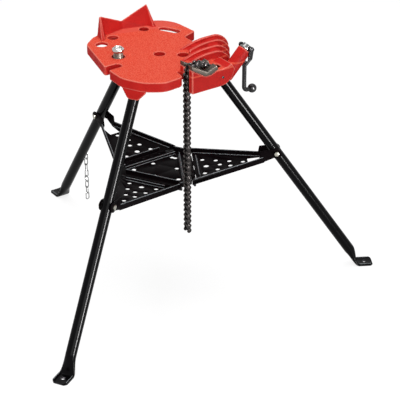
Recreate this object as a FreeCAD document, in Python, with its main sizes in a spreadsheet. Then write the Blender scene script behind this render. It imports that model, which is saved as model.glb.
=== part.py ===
"""Tripod pipe vise stand: a cast top on three folding tube legs with a folding tray.

Frame: millimetres, +Z up, origin on the floor under the middle of the top, at the centre of the
circle of the three foot bolt holes. The chain vise faces -Y and the rear leg points along +Y.
A leg, a tray leaf and what is on them are drawn in a radial frame (X outward from the centre,
Y across, Z up) and turned about Z to their own azimuth.
"""
import FreeCAD, Part
import Sketcher
import math
import os

from FreeCAD import Placement, Rotation, Vector

SIZES = [
    ("plate_top", 730.0, "height of the working surface"),
    ("plate_thick", 10.0, "thickness of the cast plate"),
    ("skirt_height", 30.0, "depth of the rim, measured from the working surface"),
    ("skirt_wall", 8.0, "wall of the rim"),
    ("tube_od", 31.75, "leg tube, outside diameter"),
    ("tube_wall", 2.6, "leg tube, wall"),
    ("splay", 34.16, "angle of an open leg from the vertical, degrees"),
    ("pivot_radius", 143.6, "leg pivot bolt, distance from the centre"),
    ("pivot_depth", 32.0, "leg pivot bolt below the working surface"),
    ("leg_top", 9.0, "tube above the pivot bolt"),
    ("pivot_bolt", 10.0, "leg pivot bolt, diameter"),
    ("bolt_clear", 0.1, "gap on the diameter between a bolt and its hole"),
    ("foot_width", 47.0, "width of the flattened foot"),
    ("foot_length", 52.0, "length of the foot from heel to toe"),
    ("foot_thick", 5.0, "thickness of the foot"),
    ("heel_inset", 14.0, "heel inward of where the middle line of the leg meets the floor"),
    ("foot_corner", 7.0, "radius of the foot's corners"),
    ("foot_hole", 11.0, "floor bolt hole"),
    ("foot_hole_inset", 24.0, "floor bolt hole, distance from the toe"),
    ("flare_length", 62.0, "length over which the tube is flattened"),
    ("socket_wall", 7.0, "cheek and lobe of a leg socket"),
    ("socket_clear", 0.8, "gap between the tube and a socket cheek"),
    ("socket_inner", 128.0, "inner end of the cheeks, from the centre"),
    ("socket_lobe", 183.6, "inner face of the lobe that stops the leg, from the centre"),
    ("socket_depth", 32.0, "lobe below the rim"),
    ("socket_tip", 19.0, "half width at the foot of the lobe"),
    ("socket_skew", 24.0, "wider side of the lobe of the rear and left leg"),
    ("bolt_room", 0.6, "room round the heads and nuts of the pivot bolts"),
    ("link_height", 405.0, "height of the bolt between a leg and its tray leaf"),
    ("link_bolt", 8.0, "bolt between a leg and its tray leaf"),
    ("bolt_head", 13.0, "hexagon head across the flats of the tray bolts"),
    ("ear_clear", 1.4, "gap between the tube and an ear of the tray leaf"),
    ("ear_round", 16.0, "radius of the ear about the bolt"),
    ("ear_hump", 36.0, "top of the ear above the leaf"),
    ("ear_crest", 14.0, "length of the level top of the ear"),
    ("ear_crest_at", 0.54, "middle of that top, share of the way from the cut-out to the bolt"),
    ("ear_lean", 57.0, "lean of the ear round the bolt, degrees"),
    ("ear_root", 14.0, "foot of the ear inward of the taper"),
    ("tray_height", 360.0, "upper face of the middle of the tray"),
    ("sheet_metal", 2.5, "thickness of the tray sheets"),
    ("leaf_tilt", 5.15, "rise of an open leaf, degrees"),
    ("hinge_radius", 90.0, "tray hinge, distance from the centre"),
    ("hinge_pin", 8.0, "hinge pin, diameter"),
    ("hinge_pin_length", 220.0, "hinge pin, length"),
    ("barrel_od", 13.0, "hinge barrel, outside diameter"),
    ("barrel_gap", 1.0, "gap between neighbouring barrels"),
    ("barrel_length", 28.0, "length of one hinge barrel"),
    ("leaf_gap", 7.6, "edge of the sheets from the hinge pin"),
    ("leaf_half", 101.0, "half width of a leaf at the hinge"),
    ("leaf_taper_gap", 38.5, "where the leaf reaches its ears, inward of the bolt"),
    ("leaf_cutout_gap", 86.5, "bottom of the cut-out for the leg, inward of the bolt"),
    ("leaf_flange", 16.0, "height of the folded edges of a leaf"),
    ("leaf_bead", 17.0, "inner folded edge of a leaf, from the hinge"),
    ("tray_bead", 29.0, "inner folded edge of the middle, from the hinge"),
    ("bead_height", 9.0, "height of the inner folded edges"),
    ("tray_hole", 13.0, "drain hole"),
    ("tray_hole_big", 16.0, "larger drain hole at the foot of a leaf"),
    ("hole_row", 39.6, "spacing of the rows of drain holes"),
    ("hole_step", 14.5, "sideways step of the drain holes from row to row"),
    ("hole_apex", 154.7, "outermost drain hole, from the hinge"),
    ("tool_hole", 36.0, "tool hole in the left lobe"),
    ("tool_hole_small", 33.0, "tool hole beside the pipe rest"),
    ("tool_hole_rear", 30.0, "tool hole under the right horn"),
    ("centre_hole", 33.0, "hole in the middle of the plate"),
    ("bender_hole", 33.0, "hole at the foot of the bending shoe"),
    ("hole_boss", 6.0, "wall of the boss under a deep tool hole"),
    ("hole_room", 3.0, "room round a tool hole in the foot of the bending shoe"),
    ("tool_slot", 27.0, "width of the long tool slot"),
    ("brace_hole", 38.0, "hole for the ceiling brace screw"),
    ("brace_screw", 28.0, "ceiling brace screw, diameter"),
    ("brace_cup", 35.0, "cup on the ceiling brace screw, diameter"),
    ("brace_show", 15.0, "ceiling brace screw between the plate and the cup"),
    ("left_horn", 59.0, "tip of the left horn above the plate"),
    ("right_horn", 55.0, "tip of the right horn above the plate"),
    ("rest_valley", 25.0, "valley of the pipe rest above the plate"),
    ("rest_ridge", 4.0, "width of the sharp upper edge of the pipe rest"),
    ("gusset", 10.0, "thickness of the gusset at the end of a horn"),
    ("rib_first", -112.0, "first bending rib, distance along Y"),
    ("rib_pitch", 34.0, "spacing of the bending ribs"),
    ("rib_thick", 9.0, "width of a bending rib"),
    ("rib_crest", 21.5, "crest of the ribs above the plate"),
    ("rib_shoulder", 62.0, "length of the rounded right end of a rib"),
    ("rib_drop", 18.0, "lower end of that round below the plate"),
    ("groove_depth", 12.0, "depth of the bending grooves"),
    ("chain_line", -160.6, "middle plane of the chain, along Y"),
    ("chain_slot", 21.6, "slot between the two walls of the vise"),
    ("jaw_depth", 19.0, "depth of a jaw along Y"),
    ("jaw_thick", 11.0, "height of a jaw under its V"),
    ("jaw_tooth", 1.6, "depth of the jaw teeth"),
    ("jaw_pitch", 4.4, "spacing of the jaw teeth"),
    ("vise_depth", 51.0, "underside of the vise below the working surface"),
    ("vise_floor", 11.0, "floor of the vise under the chain slot"),
    ("rear_wall", 22.0, "rear wall of the vise along Y"),
    ("set_screw", 7.0, "set screw in the front of the vise"),
    ("neck_od", 40.0, "neck of the chain screw, outside diameter"),
    ("neck_bore", 27.0, "bore of the neck"),
    ("neck_slope", 45.0, "slope of the neck, degrees"),
    ("neck_end_x", 182.0, "outer end of the neck, along X"),
    ("neck_end_rise", 26.5, "outer end of the neck above the working surface"),
    ("neck_reach", 47.0, "foot of the neck, inward and down of its end"),
    ("chain_pitch", 15.875, "pitch of the vise chain"),
    ("chain_width", 20.7, "width of the vise chain over its plates"),
    ("link_height_plate", 14.6, "height of a chain plate"),
    ("link_plate", 2.6, "thickness of a chain plate"),
    ("chain_pin", 6.0, "chain pin, diameter"),
    ("chain_bush", 9.0, "chain bush, outside diameter"),
    ("chain_play", 0.3, "play between moving chain pieces"),
    ("screw_travel", 1.9, "travel of the chain screw along the neck"),
    ("hang_links", 31.0, "links that hang from the vise"),
    ("hang_x", -18.0, "hanging chain, along X"),
    ("hang_depth", 5.0, "joint from which the chain hangs, below the working surface"),
    ("screw_dia", 16.0, "chain screw, diameter"),
    ("nut_flange", 34.0, "flange of the swivel nut"),
    ("nut_flange_thick", 4.5, "thickness of that flange"),
    ("nut_body", 26.0, "body of the swivel nut"),
    ("nut_length", 15.0, "length of the swivel nut"),
    ("washer_thick", 1.5, "thrust washer behind the nut"),
    ("yoke_gap", 41.2, "distance between the arms of the crank"),
    ("yoke_arm", 6.0, "thickness of a crank arm"),
    ("yoke_width", 15.0, "width of a crank arm"),
    ("yoke_drop", 42.0, "crotch of the crank below its pin"),
    ("yoke_pin", 8.0, "pin of the crank"),
    ("crank_rod", 13.0, "crank rod, diameter"),
    ("crank_drop", 134.0, "knob below the crank pin"),
    ("crank_bend", 12.0, "bend at the foot of the crank rod"),
    ("knob_reach", 22.0, "knob outward of the crank rod"),
    ("crank_inset", 6.0, "crank rod inward of the crank pin"),
    ("knob_dia", 27.0, "diameter of the knob"),
    ("tie_height", 206.0, "stud of the tie chain, height"),
    ("tie_wire", 3.0, "wire of the tie chain"),
    ("tie_ring", 25.0, "ring of the tie chain, outside"),
    ("tie_link", 28.0, "link of the tie chain, outside length"),
    ("tie_link_width", 14.0, "link of the tie chain, outside width"),
]
# Sizes that follow from others, worked out in the sheet.
FOLLOWING = [
    ("pivot_height", "=plate_top - pivot_depth", "leg pivot bolt, height"),
    ("vise_bottom", "=plate_top - vise_depth", "underside of the vise"),
    ("neck_end_z", "=plate_top + neck_end_rise", "outer end of the neck, height"),
    ("hang_z", "=plate_top - hang_depth", "joint from which the chain hangs, height"),
]

REAR, LEFT, RIGHT = 90.0, -150.0, -30.0
AZIMUTH = {"rear": REAR, "left": LEFT, "right": RIGHT}

# Rim of the plate, anticlockwise from above: x, y and the radius of the corner.
PLATE_RIM = [
    (-179, -9.5, 5), (-181, -78, 80), (-150, -140, 75), (-100, -174, 55), (-35, -168, 16),
    (-29, -128, 4), (112, -128, 0), (133, -5, 0), (133, 69, 10), (183, 88, 5),
    (173, 243.5, 86), (-88, 223, 45), (-134, 186, 30), (-177, 18, 5), (-131, 17.5, 12), (-130, -9, 12),
]
TOOL_HOLES = [
    ("centre_hole", 2, 6), ("bender_hole", 54, -38), ("tool_hole_rear", 68.5, 188),
    ("tool_hole", -97.5, 160), ("tool_hole_small", -42.5, 186), ("brace_hole", -105, 58),
]
DEEP_HOLES = ("centre_hole", "bender_hole", "tool_hole_rear")
SLOT_ENDS = [(117, 157.5), (137, 120.5)]
BRACE_AT = (-105, 58)
# Ribs of the bending shoe: left and right end of each rib along X.
RIB_SPANS = [(12, 167), (18, 190), (50, 214), (58, 234)]
# Outlines of the vise as x and height above the working surface: the V that both jaws share
# from the left tip to the right tip, the right end of the walls, the shelf between the vise and
# the bending ribs, and the right end of the room for the chain.
JAW_V = [(-20, 33), (30.5, 5), (63, 17.4)]
VISE_WALL = [(104, 4), (116, 10), (128, -8), (118, -34), (98, -48), (77, -51)]
VISE_SHELF = [(66, -30), (66, -3), (104, 2), (124, 4), (136, -14), (130, -30)]
CHAIN_ROOM = [(136, -30.5), (108, -14), (92, -2), (88, 50)]
# Set screw in the front of the vise: x, how far it stands out, and height above the surface.
SET_SCREW = (85, 2, -24)
# Angle of each chain link from the hanging joint over the V and down to the chain screw.
LINK_ANGLES = [72, 44, 11, -12, -24, -30, -35, -41, -41, -27, 0, 45]

doc = FreeCAD.newDocument("PipeViseStand")
sheet = doc.addObject("Spreadsheet::Sheet", "Sizes")
for row, (alias, number, note) in enumerate(SIZES + FOLLOWING, start=1):
    sheet.set("A%d" % row, alias)
    sheet.set("B%d" % row, str(number))
    sheet.set("C%d" % row, note)
    sheet.setAlias("B%d" % row, alias)
doc.recompute()


class Sizes:
    """Sizes of the sheet as plain numbers."""

    def __getattr__(self, alias):
        return float(sheet.get(alias))


size = Sizes()
made = []


def finish(obj, label, placement=None):
    """Give a sub-part its label and placement and remember it."""
    obj.Label = label
    if placement is not None:
        obj.Placement = placement
    made.append(obj)
    return obj


def feature(label, shape, placement=None):
    """A sub-part whose shape is made with Part's own functions."""
    obj = doc.addObject("Part::Feature", label)
    obj.Shape = shape
    return finish(obj, label, placement)


def radial(azimuth, x=0.0, z=0.0, tilt=0.0):
    """Placement of a radial frame whose origin lies at radius x and height z."""
    turn = Placement(Vector(), Rotation(Vector(0, 0, 1), azimuth))
    lift = Placement(Vector(x, 0, z), Rotation(Vector(0, 1, 0), -tilt))
    return turn.multiply(lift)


# ---------------------------------------------------------------- sketch helpers

def new_sketch(body, name, role="XY_Plane", offsets=None, turn=None):
    """Sketch on an origin plane; offsets and turn (about local Y) are expressions."""
    sketch = body.newObject("Sketcher::SketchObject", name)
    plane = next(item for item in body.Origin.OriginFeatures if item.Role == role)
    sketch.AttachmentSupport = [(plane, "")]
    sketch.MapMode = "FlatFace"
    if turn:
        sketch.AttachmentOffset = Placement(Vector(), Rotation(Vector(0, 1, 0), 1))
        sketch.setExpression(".AttachmentOffset.Rotation.Angle", turn)
    for axis, text in (offsets or {}).items():
        sketch.setExpression(".AttachmentOffset.Base." + axis, text)
    return sketch


def hold(sketch, kind, arguments, text):
    """Add a dimension whose value is an expression."""
    index = sketch.addConstraint(Sketcher.Constraint(kind, *arguments, 1.0))
    sketch.setExpression("Constraints[%d]" % index, text)


def draw_polygon(sketch, corners):
    """Closed outline; every corner is a pair of expressions from the sketch's origin."""
    first = sketch.GeometryCount
    count = len(corners)
    spots = [Vector(10 * math.cos(2 * math.pi * k / count), 10 * math.sin(2 * math.pi * k / count), 0)
             for k in range(count)]
    for k in range(count):
        sketch.addGeometry(Part.LineSegment(spots[k], spots[(k + 1) % count]), False)
    for k in range(count):
        sketch.addConstraint(Sketcher.Constraint("Coincident", first + k, 2, first + (k + 1) % count, 1))
    for k, (x_text, y_text) in enumerate(corners):
        hold(sketch, "DistanceX", (-1, 1, first + k, 1), x_text)
        hold(sketch, "DistanceY", (-1, 1, first + k, 1), y_text)


def draw_circle(sketch, diameter, x_text="0", y_text="0"):
    """Circle with its diameter and centre as expressions."""
    index = sketch.addGeometry(Part.Circle(Vector(1, 1, 0), Vector(0, 0, 1), 2), False)
    hold(sketch, "DistanceX", (-1, 1, index, 3), x_text)
    hold(sketch, "DistanceY", (-1, 1, index, 3), y_text)
    hold(sketch, "Diameter", (index,), diameter)


def add_pad(body, sketch, length, midplane=False, reverse=False):
    pad = body.newObject("PartDesign::Pad", sketch.Name + "_pad")
    pad.Profile = sketch
    pad.setExpression("Length", length)
    pad.Midplane = midplane
    pad.Reversed = reverse
    return pad


def add_pocket(body, sketch, length):
    pocket = body.newObject("PartDesign::Pocket", sketch.Name + "_cut")
    pocket.Profile = sketch
    pocket.setExpression("Length", length)
    pocket.Midplane = True
    return pocket


def finish_body(body, placement):
    doc.recompute()
    return finish(body, body.Label, placement)


# ---------------------------------------------------------------- shape helpers

def rounded_wire(corners, height):
    """Closed wire at a height through corners (x, y, radius) with tangent arcs."""
    count = len(corners)
    ends = []
    for k, (x, y, radius) in enumerate(corners):
        here = Vector(x, y, height)
        before = Vector(corners[k - 1][0], corners[k - 1][1], height) - here
        after = Vector(corners[(k + 1) % count][0], corners[(k + 1) % count][1], height) - here
        before.normalize()
        after.normalize()
        half = before.getAngle(after) / 2
        reach = radius / math.tan(half)
        middle = before + after
        middle.normalize()
        bulge = here + middle * (radius / math.sin(half) - radius)
        ends.append((here + before * reach, bulge, here + after * reach, radius))
    edges = []
    for k, (start, bulge, stop, radius) in enumerate(ends):
        if radius > 0:
            edges.append(Part.Arc(start, bulge, stop).toShape())
        following = ends[(k + 1) % count][0]
        if stop.distanceToPoint(following) > 1e-6:
            edges.append(Part.LineSegment(stop, following).toShape())
    return Part.Wire(Part.__sortEdges__(edges))


def prism(points, direction):
    """Solid from a closed flat outline pushed along a direction."""
    closed = [Vector(*point) for point in points]
    closed.append(closed[0])
    return Part.Face(Part.makePolygon(closed)).extrude(Vector(*direction))


def rod(start, stop, diameter):
    """Cylinder from one point to another."""
    along = Vector(*stop) - Vector(*start)
    return Part.makeCylinder(diameter / 2, along.Length, Vector(*start), along)


def hexagon(across_flats, height, start, direction):
    """Hexagonal prism with its base centred on start."""
    corner = across_flats / math.sqrt(3)
    points = [Vector(corner * math.cos(math.radians(60 * k)), corner * math.sin(math.radians(60 * k)), 0)
              for k in range(7)]
    solid = Part.Face(Part.makePolygon(points)).extrude(Vector(0, 0, height))
    solid.Placement = Placement(Vector(*start), Rotation(Vector(0, 0, 1), Vector(*direction)))
    return solid


def box(low, high):
    return Part.makeBox(high[0] - low[0], high[1] - low[1], high[2] - low[2], Vector(*low))


def placed(shape, placement):
    copy = shape.copy()
    copy.Placement = placement.multiply(copy.Placement)
    return copy


def clean(shape):
    return shape.removeSplitter()


# ---------------------------------------------------------------- shared places

splay_rad = math.radians(size.splay)
lean = Vector(math.sin(splay_rad), 0, -math.cos(splay_rad))
link_radius = size.pivot_radius + (size.pivot_height - size.link_height) * math.tan(splay_rad)
skirt_low = size.plate_top - size.skirt_height
plate_low = size.plate_top - size.plate_thick
hinge_height = size.tray_height - size.sheet_metal / 2
tube_radius = size.tube_od / 2
cheek_inner = tube_radius + size.socket_clear
ear_inner = tube_radius + size.ear_clear
ear_outer = ear_inner + size.sheet_metal
neck_rad = math.radians(size.neck_slope)
neck_axis = Vector(math.cos(neck_rad), 0, math.sin(neck_rad))
neck_end = Vector(size.neck_end_x, size.chain_line, size.neck_end_z)
crank_centre = neck_end + neck_axis * (size.washer_thick + size.nut_length / 2)


# ---------------------------------------------------------------- legs

def make_leg(name, azimuth):
    """Tube whose end is flattened into a foot, in the radial frame."""
    body = doc.addObject("PartDesign::Body", "leg_" + name)
    tilt = "-Sizes.splay * 1 deg"
    up_x = "Sizes.pivot_radius - Sizes.leg_top * sin(Sizes.splay)"
    up_z = "Sizes.pivot_height + Sizes.leg_top * cos(Sizes.splay)"
    heel = "((Sizes.pivot_height - Sizes.foot_thick / 2) / cos(Sizes.splay))"
    ground = "Sizes.pivot_radius + Sizes.pivot_height * tan(Sizes.splay) - Sizes.heel_inset"
    tube = new_sketch(body, "tube_" + name, offsets={"x": up_x, "z": up_z}, turn=tilt)
    draw_circle(tube, "Sizes.tube_od")
    draw_circle(tube, "Sizes.tube_od - 2 * Sizes.tube_wall")
    add_pad(body, tube, "Sizes.leg_top + %s - Sizes.flare_length" % heel, reverse=True)
    flare_at = "(%s - Sizes.flare_length)" % heel
    top = new_sketch(body, "flare_top_" + name, turn=tilt,
                     offsets={"x": "Sizes.pivot_radius + %s * sin(Sizes.splay)" % flare_at,
                              "z": "Sizes.pivot_height - %s * cos(Sizes.splay)" % flare_at})
    draw_circle(top, "Sizes.tube_od")
    base = new_sketch(body, "flare_end_" + name,
                      offsets={"x": ground + " + Sizes.foot_thick", "z": "Sizes.foot_thick / 2"})
    oval = base.addGeometry(Part.Ellipse(Vector(0, 20, 0), Vector(-4, 0, 0), Vector(0, 0, 0)), False)
    base.exposeInternalGeometry(oval)
    base.addConstraint(Sketcher.Constraint("Coincident", oval, 3, -1, 1))
    base.addConstraint(Sketcher.Constraint("Vertical", oval + 1))
    hold(base, "Distance", (oval + 1,), "Sizes.foot_width")
    hold(base, "Distance", (oval + 2,), "2 * Sizes.foot_thick")
    doc.recompute()
    flare = body.newObject("PartDesign::AdditiveLoft", "flare_" + name)
    flare.Profile = top
    flare.Sections = [base]
    doc.recompute()
    foot = new_sketch(body, "foot_" + name)
    toe = ground + " + Sizes.foot_length"
    start = ground
    half = "Sizes.foot_width / 2"
    draw_polygon(foot, [(start, "-" + half), (toe + " - Sizes.foot_corner", "-" + half),
                        (toe, "-%s + Sizes.foot_corner" % half), (toe, half + " - Sizes.foot_corner"),
                        (toe + " - Sizes.foot_corner", half), (start, half)])
    add_pad(body, foot, "Sizes.foot_thick")
    hole = new_sketch(body, "floor_hole_" + name)
    draw_circle(hole, "Sizes.foot_hole", toe + " - Sizes.foot_hole_inset")
    add_pocket(body, hole, "4 * Sizes.foot_thick")
    bolts = new_sketch(body, "bolt_holes_" + name, role="XZ_Plane")
    draw_circle(bolts, "Sizes.pivot_bolt + Sizes.bolt_clear", "Sizes.pivot_radius", "Sizes.pivot_height")
    draw_circle(bolts, "Sizes.link_bolt + Sizes.bolt_clear",
                "Sizes.pivot_radius + (Sizes.pivot_height - Sizes.link_height) * tan(Sizes.splay)",
                "Sizes.link_height")
    add_pocket(body, bolts, "2 * Sizes.tube_od")
    return finish_body(body, radial(azimuth))


def make_pivot_bolts():
    """Pivot bolts of the three legs with their heads, and their nuts."""
    span = cheek_inner + size.socket_wall
    head = 1.6 * size.pivot_bolt
    at = (size.pivot_radius, 0, size.pivot_height)
    bolts, nuts = [], []
    for azimuth in AZIMUTH.values():
        shank = rod((at[0], -span, at[2]), (at[0], span + size.pivot_bolt, at[2]), size.pivot_bolt)
        cap = hexagon(head, 0.6 * size.pivot_bolt, (at[0], -span, at[2]), (0, -1, 0))
        nut = hexagon(head, 0.7 * size.pivot_bolt, (at[0], span, at[2]), (0, 1, 0)).cut(shank)
        bolts.append(placed(shank.fuse(cap), radial(azimuth)))
        nuts.append(placed(nut, radial(azimuth)))
    feature("leg_pivot_bolts", Part.makeCompound(bolts))
    feature("leg_pivot_nuts", Part.makeCompound(nuts))


def make_link_bolts(name, azimuth):
    """Cross pin in the leg, and the bolt heads that ride on the ears of the leaf."""
    at = (link_radius, size.link_height)
    pin = rod((at[0], -ear_inner, at[1]), (at[0], ear_inner, at[1]), size.link_bolt)
    feature("link_pin_" + name, placed(pin, radial(azimuth)))
    heads = []
    for side in (-1, 1):
        stub = rod((at[0], side * ear_inner, at[1]), (at[0], side * ear_outer, at[1]), size.link_bolt)
        head = hexagon(size.bolt_head, 0.65 * size.link_bolt, (at[0], side * ear_outer, at[1]),
                       (0, side, 0))
        heads.append(placed(stub.fuse(head), radial(azimuth)))
    feature("link_bolt_heads_" + name, Part.makeCompound(heads))


# ---------------------------------------------------------------- tray

def barrel_spans():
    """Middle of each hinge barrel across the leaf, those of the leaf and of the middle plate."""
    step = size.barrel_length + size.barrel_gap
    leaf = [-step, step]
    middle = [-2 * step, 0.0, 2 * step]
    return leaf, middle


def barrels(places, outward):
    """Rolled barrels round the pin with the strip of sheet that joins them to the plate."""
    half = size.barrel_length / 2
    shape = None
    for place in places:
        barrel = rod((0, place - half, 0), (0, place + half, 0), size.barrel_od)
        strip = box((min(0, outward * size.leaf_gap), place - half, -size.sheet_metal / 2),
                    (max(0, outward * size.leaf_gap), place + half, size.sheet_metal / 2))
        piece = barrel.fuse(strip)
        shape = piece if shape is None else shape.fuse(piece)
    pin = rod((0, -size.leaf_half, 0), (0, size.leaf_half, 0), size.hinge_pin + size.bolt_clear)
    return shape.cut(pin)


def tray_holes(places, half_height=20.0):
    """Cutters for the drain holes at places (x, y, diameter)."""
    return [rod((x, y, -half_height), (x, y, half_height), dia) for x, y, dia in places]


def leaf_bolt():
    """Bolt of the leg seen from the side, in the leaf's own frame."""
    rise = size.link_height - hinge_height
    run = link_radius - size.hinge_radius
    tilt = math.radians(size.leaf_tilt)
    bolt = Vector(run * math.cos(tilt) + rise * math.sin(tilt), 0,
                  -run * math.sin(tilt) + rise * math.cos(tilt))
    return bolt


def on_ear(bolt, degrees):
    """Point on the round end of an ear, at an angle from the plane of the leaf."""
    turn = math.radians(degrees)
    return bolt.x + size.ear_round * math.cos(turn), bolt.z + size.ear_round * math.sin(turn)


def make_leaf(name, azimuth):
    """Leaf of the tray: sheet with folded edges, hinge barrels and two ears for the leg."""
    low, high = -size.sheet_metal / 2, size.sheet_metal / 2
    bolt = leaf_bolt()
    start, taper, cutout = size.leaf_gap, bolt.x - size.leaf_taper_gap, bolt.x - size.leaf_cutout_gap
    half = size.leaf_half
    plate = prism([(start, -half, low), (taper, -ear_outer, low), (taper, -ear_inner, low),
                   (cutout, -ear_inner, low), (cutout, ear_inner, low), (taper, ear_inner, low),
                   (taper, ear_outer, low), (start, half, low)], (0, 0, size.sheet_metal))
    hook = -size.hinge_pin / 2 - size.sheet_metal
    wide = half + (half - ear_outer) * (start - hook) / (taper - start)
    pieces = []
    for side in (-1, 1):
        edge = prism([(hook, side * wide, low), (taper, side * ear_outer, low),
                      (taper, side * ear_inner, low), (hook, side * (wide - size.sheet_metal), low)],
                     (0, 0, size.leaf_flange - low))
        ear_top = high + size.ear_hump
        crest = cutout + size.ear_crest_at * (bolt.x - cutout)
        outline = [(taper - size.ear_root / 2, low), on_ear(bolt, size.ear_lean - 180),
                   on_ear(bolt, size.ear_lean), on_ear(bolt, 90 + size.ear_lean / 3),
                   (crest + size.ear_crest / 2, ear_top), (crest - size.ear_crest / 2, ear_top),
                   (taper - size.ear_root, size.leaf_flange)]
        ear = prism([(x, side * ear_inner, z) for x, z in outline], (0, side * size.sheet_metal, 0))
        tip = rod((bolt.x, side * ear_inner, bolt.z), (bolt.x, side * ear_outer, bolt.z),
                  2 * size.ear_round)
        pieces += [edge, ear.fuse(tip)]
    bead = box((size.leaf_bead, -0.62 * half, low),
               (size.leaf_bead + size.sheet_metal, 0.62 * half, size.bead_height))
    solid = plate.fuse(pieces + [bead, barrels(barrel_spans()[0], 1)])
    bolt_hole = rod((bolt.x, -2 * ear_outer, bolt.z), (bolt.x, 2 * ear_outer, bolt.z),
                    size.link_bolt)
    row, step = size.hole_row, size.hole_step
    places = [(size.hole_apex - row * k, side * step * k, size.tray_hole)
              for k in range(4) for side in ((1,) if k == 0 else (-1, 1))]
    places += [(size.hole_apex - 1.76 * row, 0, size.tray_hole),
               (size.hole_apex - 2.8 * row, 0, size.tray_hole_big)]
    middle_barrels = [rod((0, y - size.barrel_length / 2 - size.barrel_gap, 0),
                          (0, y + size.barrel_length / 2 + size.barrel_gap, 0),
                          size.barrel_od + 2 * size.barrel_gap) for y in barrel_spans()[1]]
    pin = rod((0, -2 * half, 0), (0, 2 * half, 0), size.hinge_pin + size.bolt_clear)
    solid = clean(solid.cut(tray_holes(places) + [bolt_hole, pin] + middle_barrels))
    feature("tray_leaf_" + name, solid, radial(azimuth, size.hinge_radius, hinge_height, size.leaf_tilt))


def make_tray_middle():
    """Three-sided middle of the tray with folded edges and hinge barrels."""
    low = hinge_height - size.sheet_metal / 2
    inner = size.hinge_radius - size.leaf_gap
    corners = []
    for azimuth in (LEFT, RIGHT, REAR):
        for side in (-1, 1):
            spot = radial(azimuth).multVec(Vector(inner, side * size.leaf_half, low))
            corners.append((spot.x, spot.y, low))
    solid = prism(corners, (0, 0, size.sheet_metal))
    extra, cutters = [], []
    for k in (1, 3, 5):
        a, b = Vector(*corners[k]), Vector(*corners[(k + 1) % 6])
        inward = Vector(a.x + b.x, a.y + b.y, 0).normalize() * -size.sheet_metal
        extra.append(prism([a, b, b + inward, a + inward], (0, 0, size.leaf_flange)))
    for azimuth in AZIMUTH.values():
        place = radial(azimuth, size.hinge_radius, hinge_height)
        bead_x = -size.tray_bead
        bead = box((bead_x - size.sheet_metal, -0.88 * size.leaf_half, 0),
                   (bead_x, 0.88 * size.leaf_half, size.bead_height))
        extra += [placed(bead, place), placed(barrels(barrel_spans()[1], -1), place)]
        row = size.hole_row * 1.74
        spots = [(-0.49 * size.hinge_radius - 0.45, side * row, size.tray_hole) for side in (-1, 1)]
        spots += [(-0.49 * size.hinge_radius - 0.45, 0, size.tray_hole)]
        cutters += [placed(cut, place) for cut in tray_holes(spots)]
    solid = solid.fuse(extra)
    feature("tray_middle", clean(solid.cut(cutters)))


def make_hinge_pins():
    """The three long pins that carry the leaves."""
    half = size.hinge_pin_length / 2
    pins = [placed(rod((0, -half, 0), (0, half, 0), size.hinge_pin),
                   radial(azimuth, size.hinge_radius, hinge_height)) for azimuth in AZIMUTH.values()]
    feature("hinge_pins", Part.makeCompound(pins))


# ---------------------------------------------------------------- cast top

def leg_pockets():
    """Room for the tops of the legs, open downward and inward."""
    high = plate_low - 1
    pocket = box((size.socket_inner - 28, -cheek_inner, size.pivot_height - 2 * size.skirt_height),
                 (size.socket_lobe, cheek_inner, high))
    return [placed(pocket, radial(azimuth)) for azimuth in AZIMUTH.values()]


def bolt_rooms():
    """Holes for the pivot bolts, and room beside the cheeks for their heads and nuts."""
    span = cheek_inner + size.socket_wall
    dia = 1.6 * size.pivot_bolt / math.cos(math.pi / 6) + 2 * size.bolt_room
    at = (size.pivot_radius, size.pivot_height)
    rooms = [rod((at[0], span, at[1]), (at[0], span + size.pivot_bolt + size.bolt_room, at[1]), dia),
             rod((at[0], -span, at[1]), (at[0], -span - 0.6 * size.pivot_bolt - size.bolt_room, at[1]), dia),
             rod((at[0], -span, at[1]), (at[0], span, at[1]), size.pivot_bolt)]
    return [placed(room, radial(azimuth)) for azimuth in AZIMUTH.values() for room in rooms]


def leg_socket(skew):
    """Two cheeks and the outer lobe against which the open leg rests, wider by skew on one side."""
    half = cheek_inner + size.socket_wall
    lobe_back = size.socket_lobe + size.socket_wall
    low = skirt_low - size.socket_depth
    top = plate_low + size.plate_thick / 2
    cheek_low = size.pivot_height - 1.3 * size.pivot_bolt
    shoulder = skirt_low - size.socket_wall
    profile = [(size.socket_inner, top), (size.socket_inner, cheek_low + size.socket_wall),
               (size.socket_inner + size.socket_wall, cheek_low), (size.pivot_radius + 12, cheek_low),
               (lobe_back, shoulder), (lobe_back, top)]
    cheeks = [prism([(x, side * cheek_inner, z) for x, z in profile], (0, side * size.socket_wall, 0))
              for side in (-1, 1)]
    tip, shift = size.socket_tip, skew / 3
    right, left = half + max(skew, 0), -half + min(skew, 0)
    outline = [(right, top), (right, shoulder), (shift + tip, low + 3), (shift + tip - 5, low),
               (shift - tip + 5, low), (shift - tip, low + 3), (left, shoulder), (left, top)]
    lobe = prism([(size.socket_lobe, y, z) for y, z in outline], (size.socket_wall, 0, 0))
    bolt = rod((size.pivot_radius, -2 * half, size.pivot_height),
               (size.pivot_radius, 2 * half, size.pivot_height), size.pivot_bolt)
    return lobe.fuse(cheeks).cut(bolt)


def leg_sockets():
    """Sockets of the three legs in their places."""
    skews = ((REAR, -size.socket_skew), (LEFT, size.socket_skew), (RIGHT, 0))
    return [placed(leg_socket(skew), radial(azimuth)) for azimuth, skew in skews]


def plate_outline(height):
    return rounded_wire(PLATE_RIM, height)


def tool_hole_cutters(room=0.0):
    """Drills for the round holes; those of the deep holes go down through their bosses."""
    cutters = []
    for name, x, y in TOOL_HOLES:
        low = skirt_low if name in DEEP_HOLES else plate_low
        cutters.append(rod((x, y, low - 1), (x, y, size.plate_top + size.rib_crest),
                           getattr(size, name) + 2 * room))
    return cutters


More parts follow.
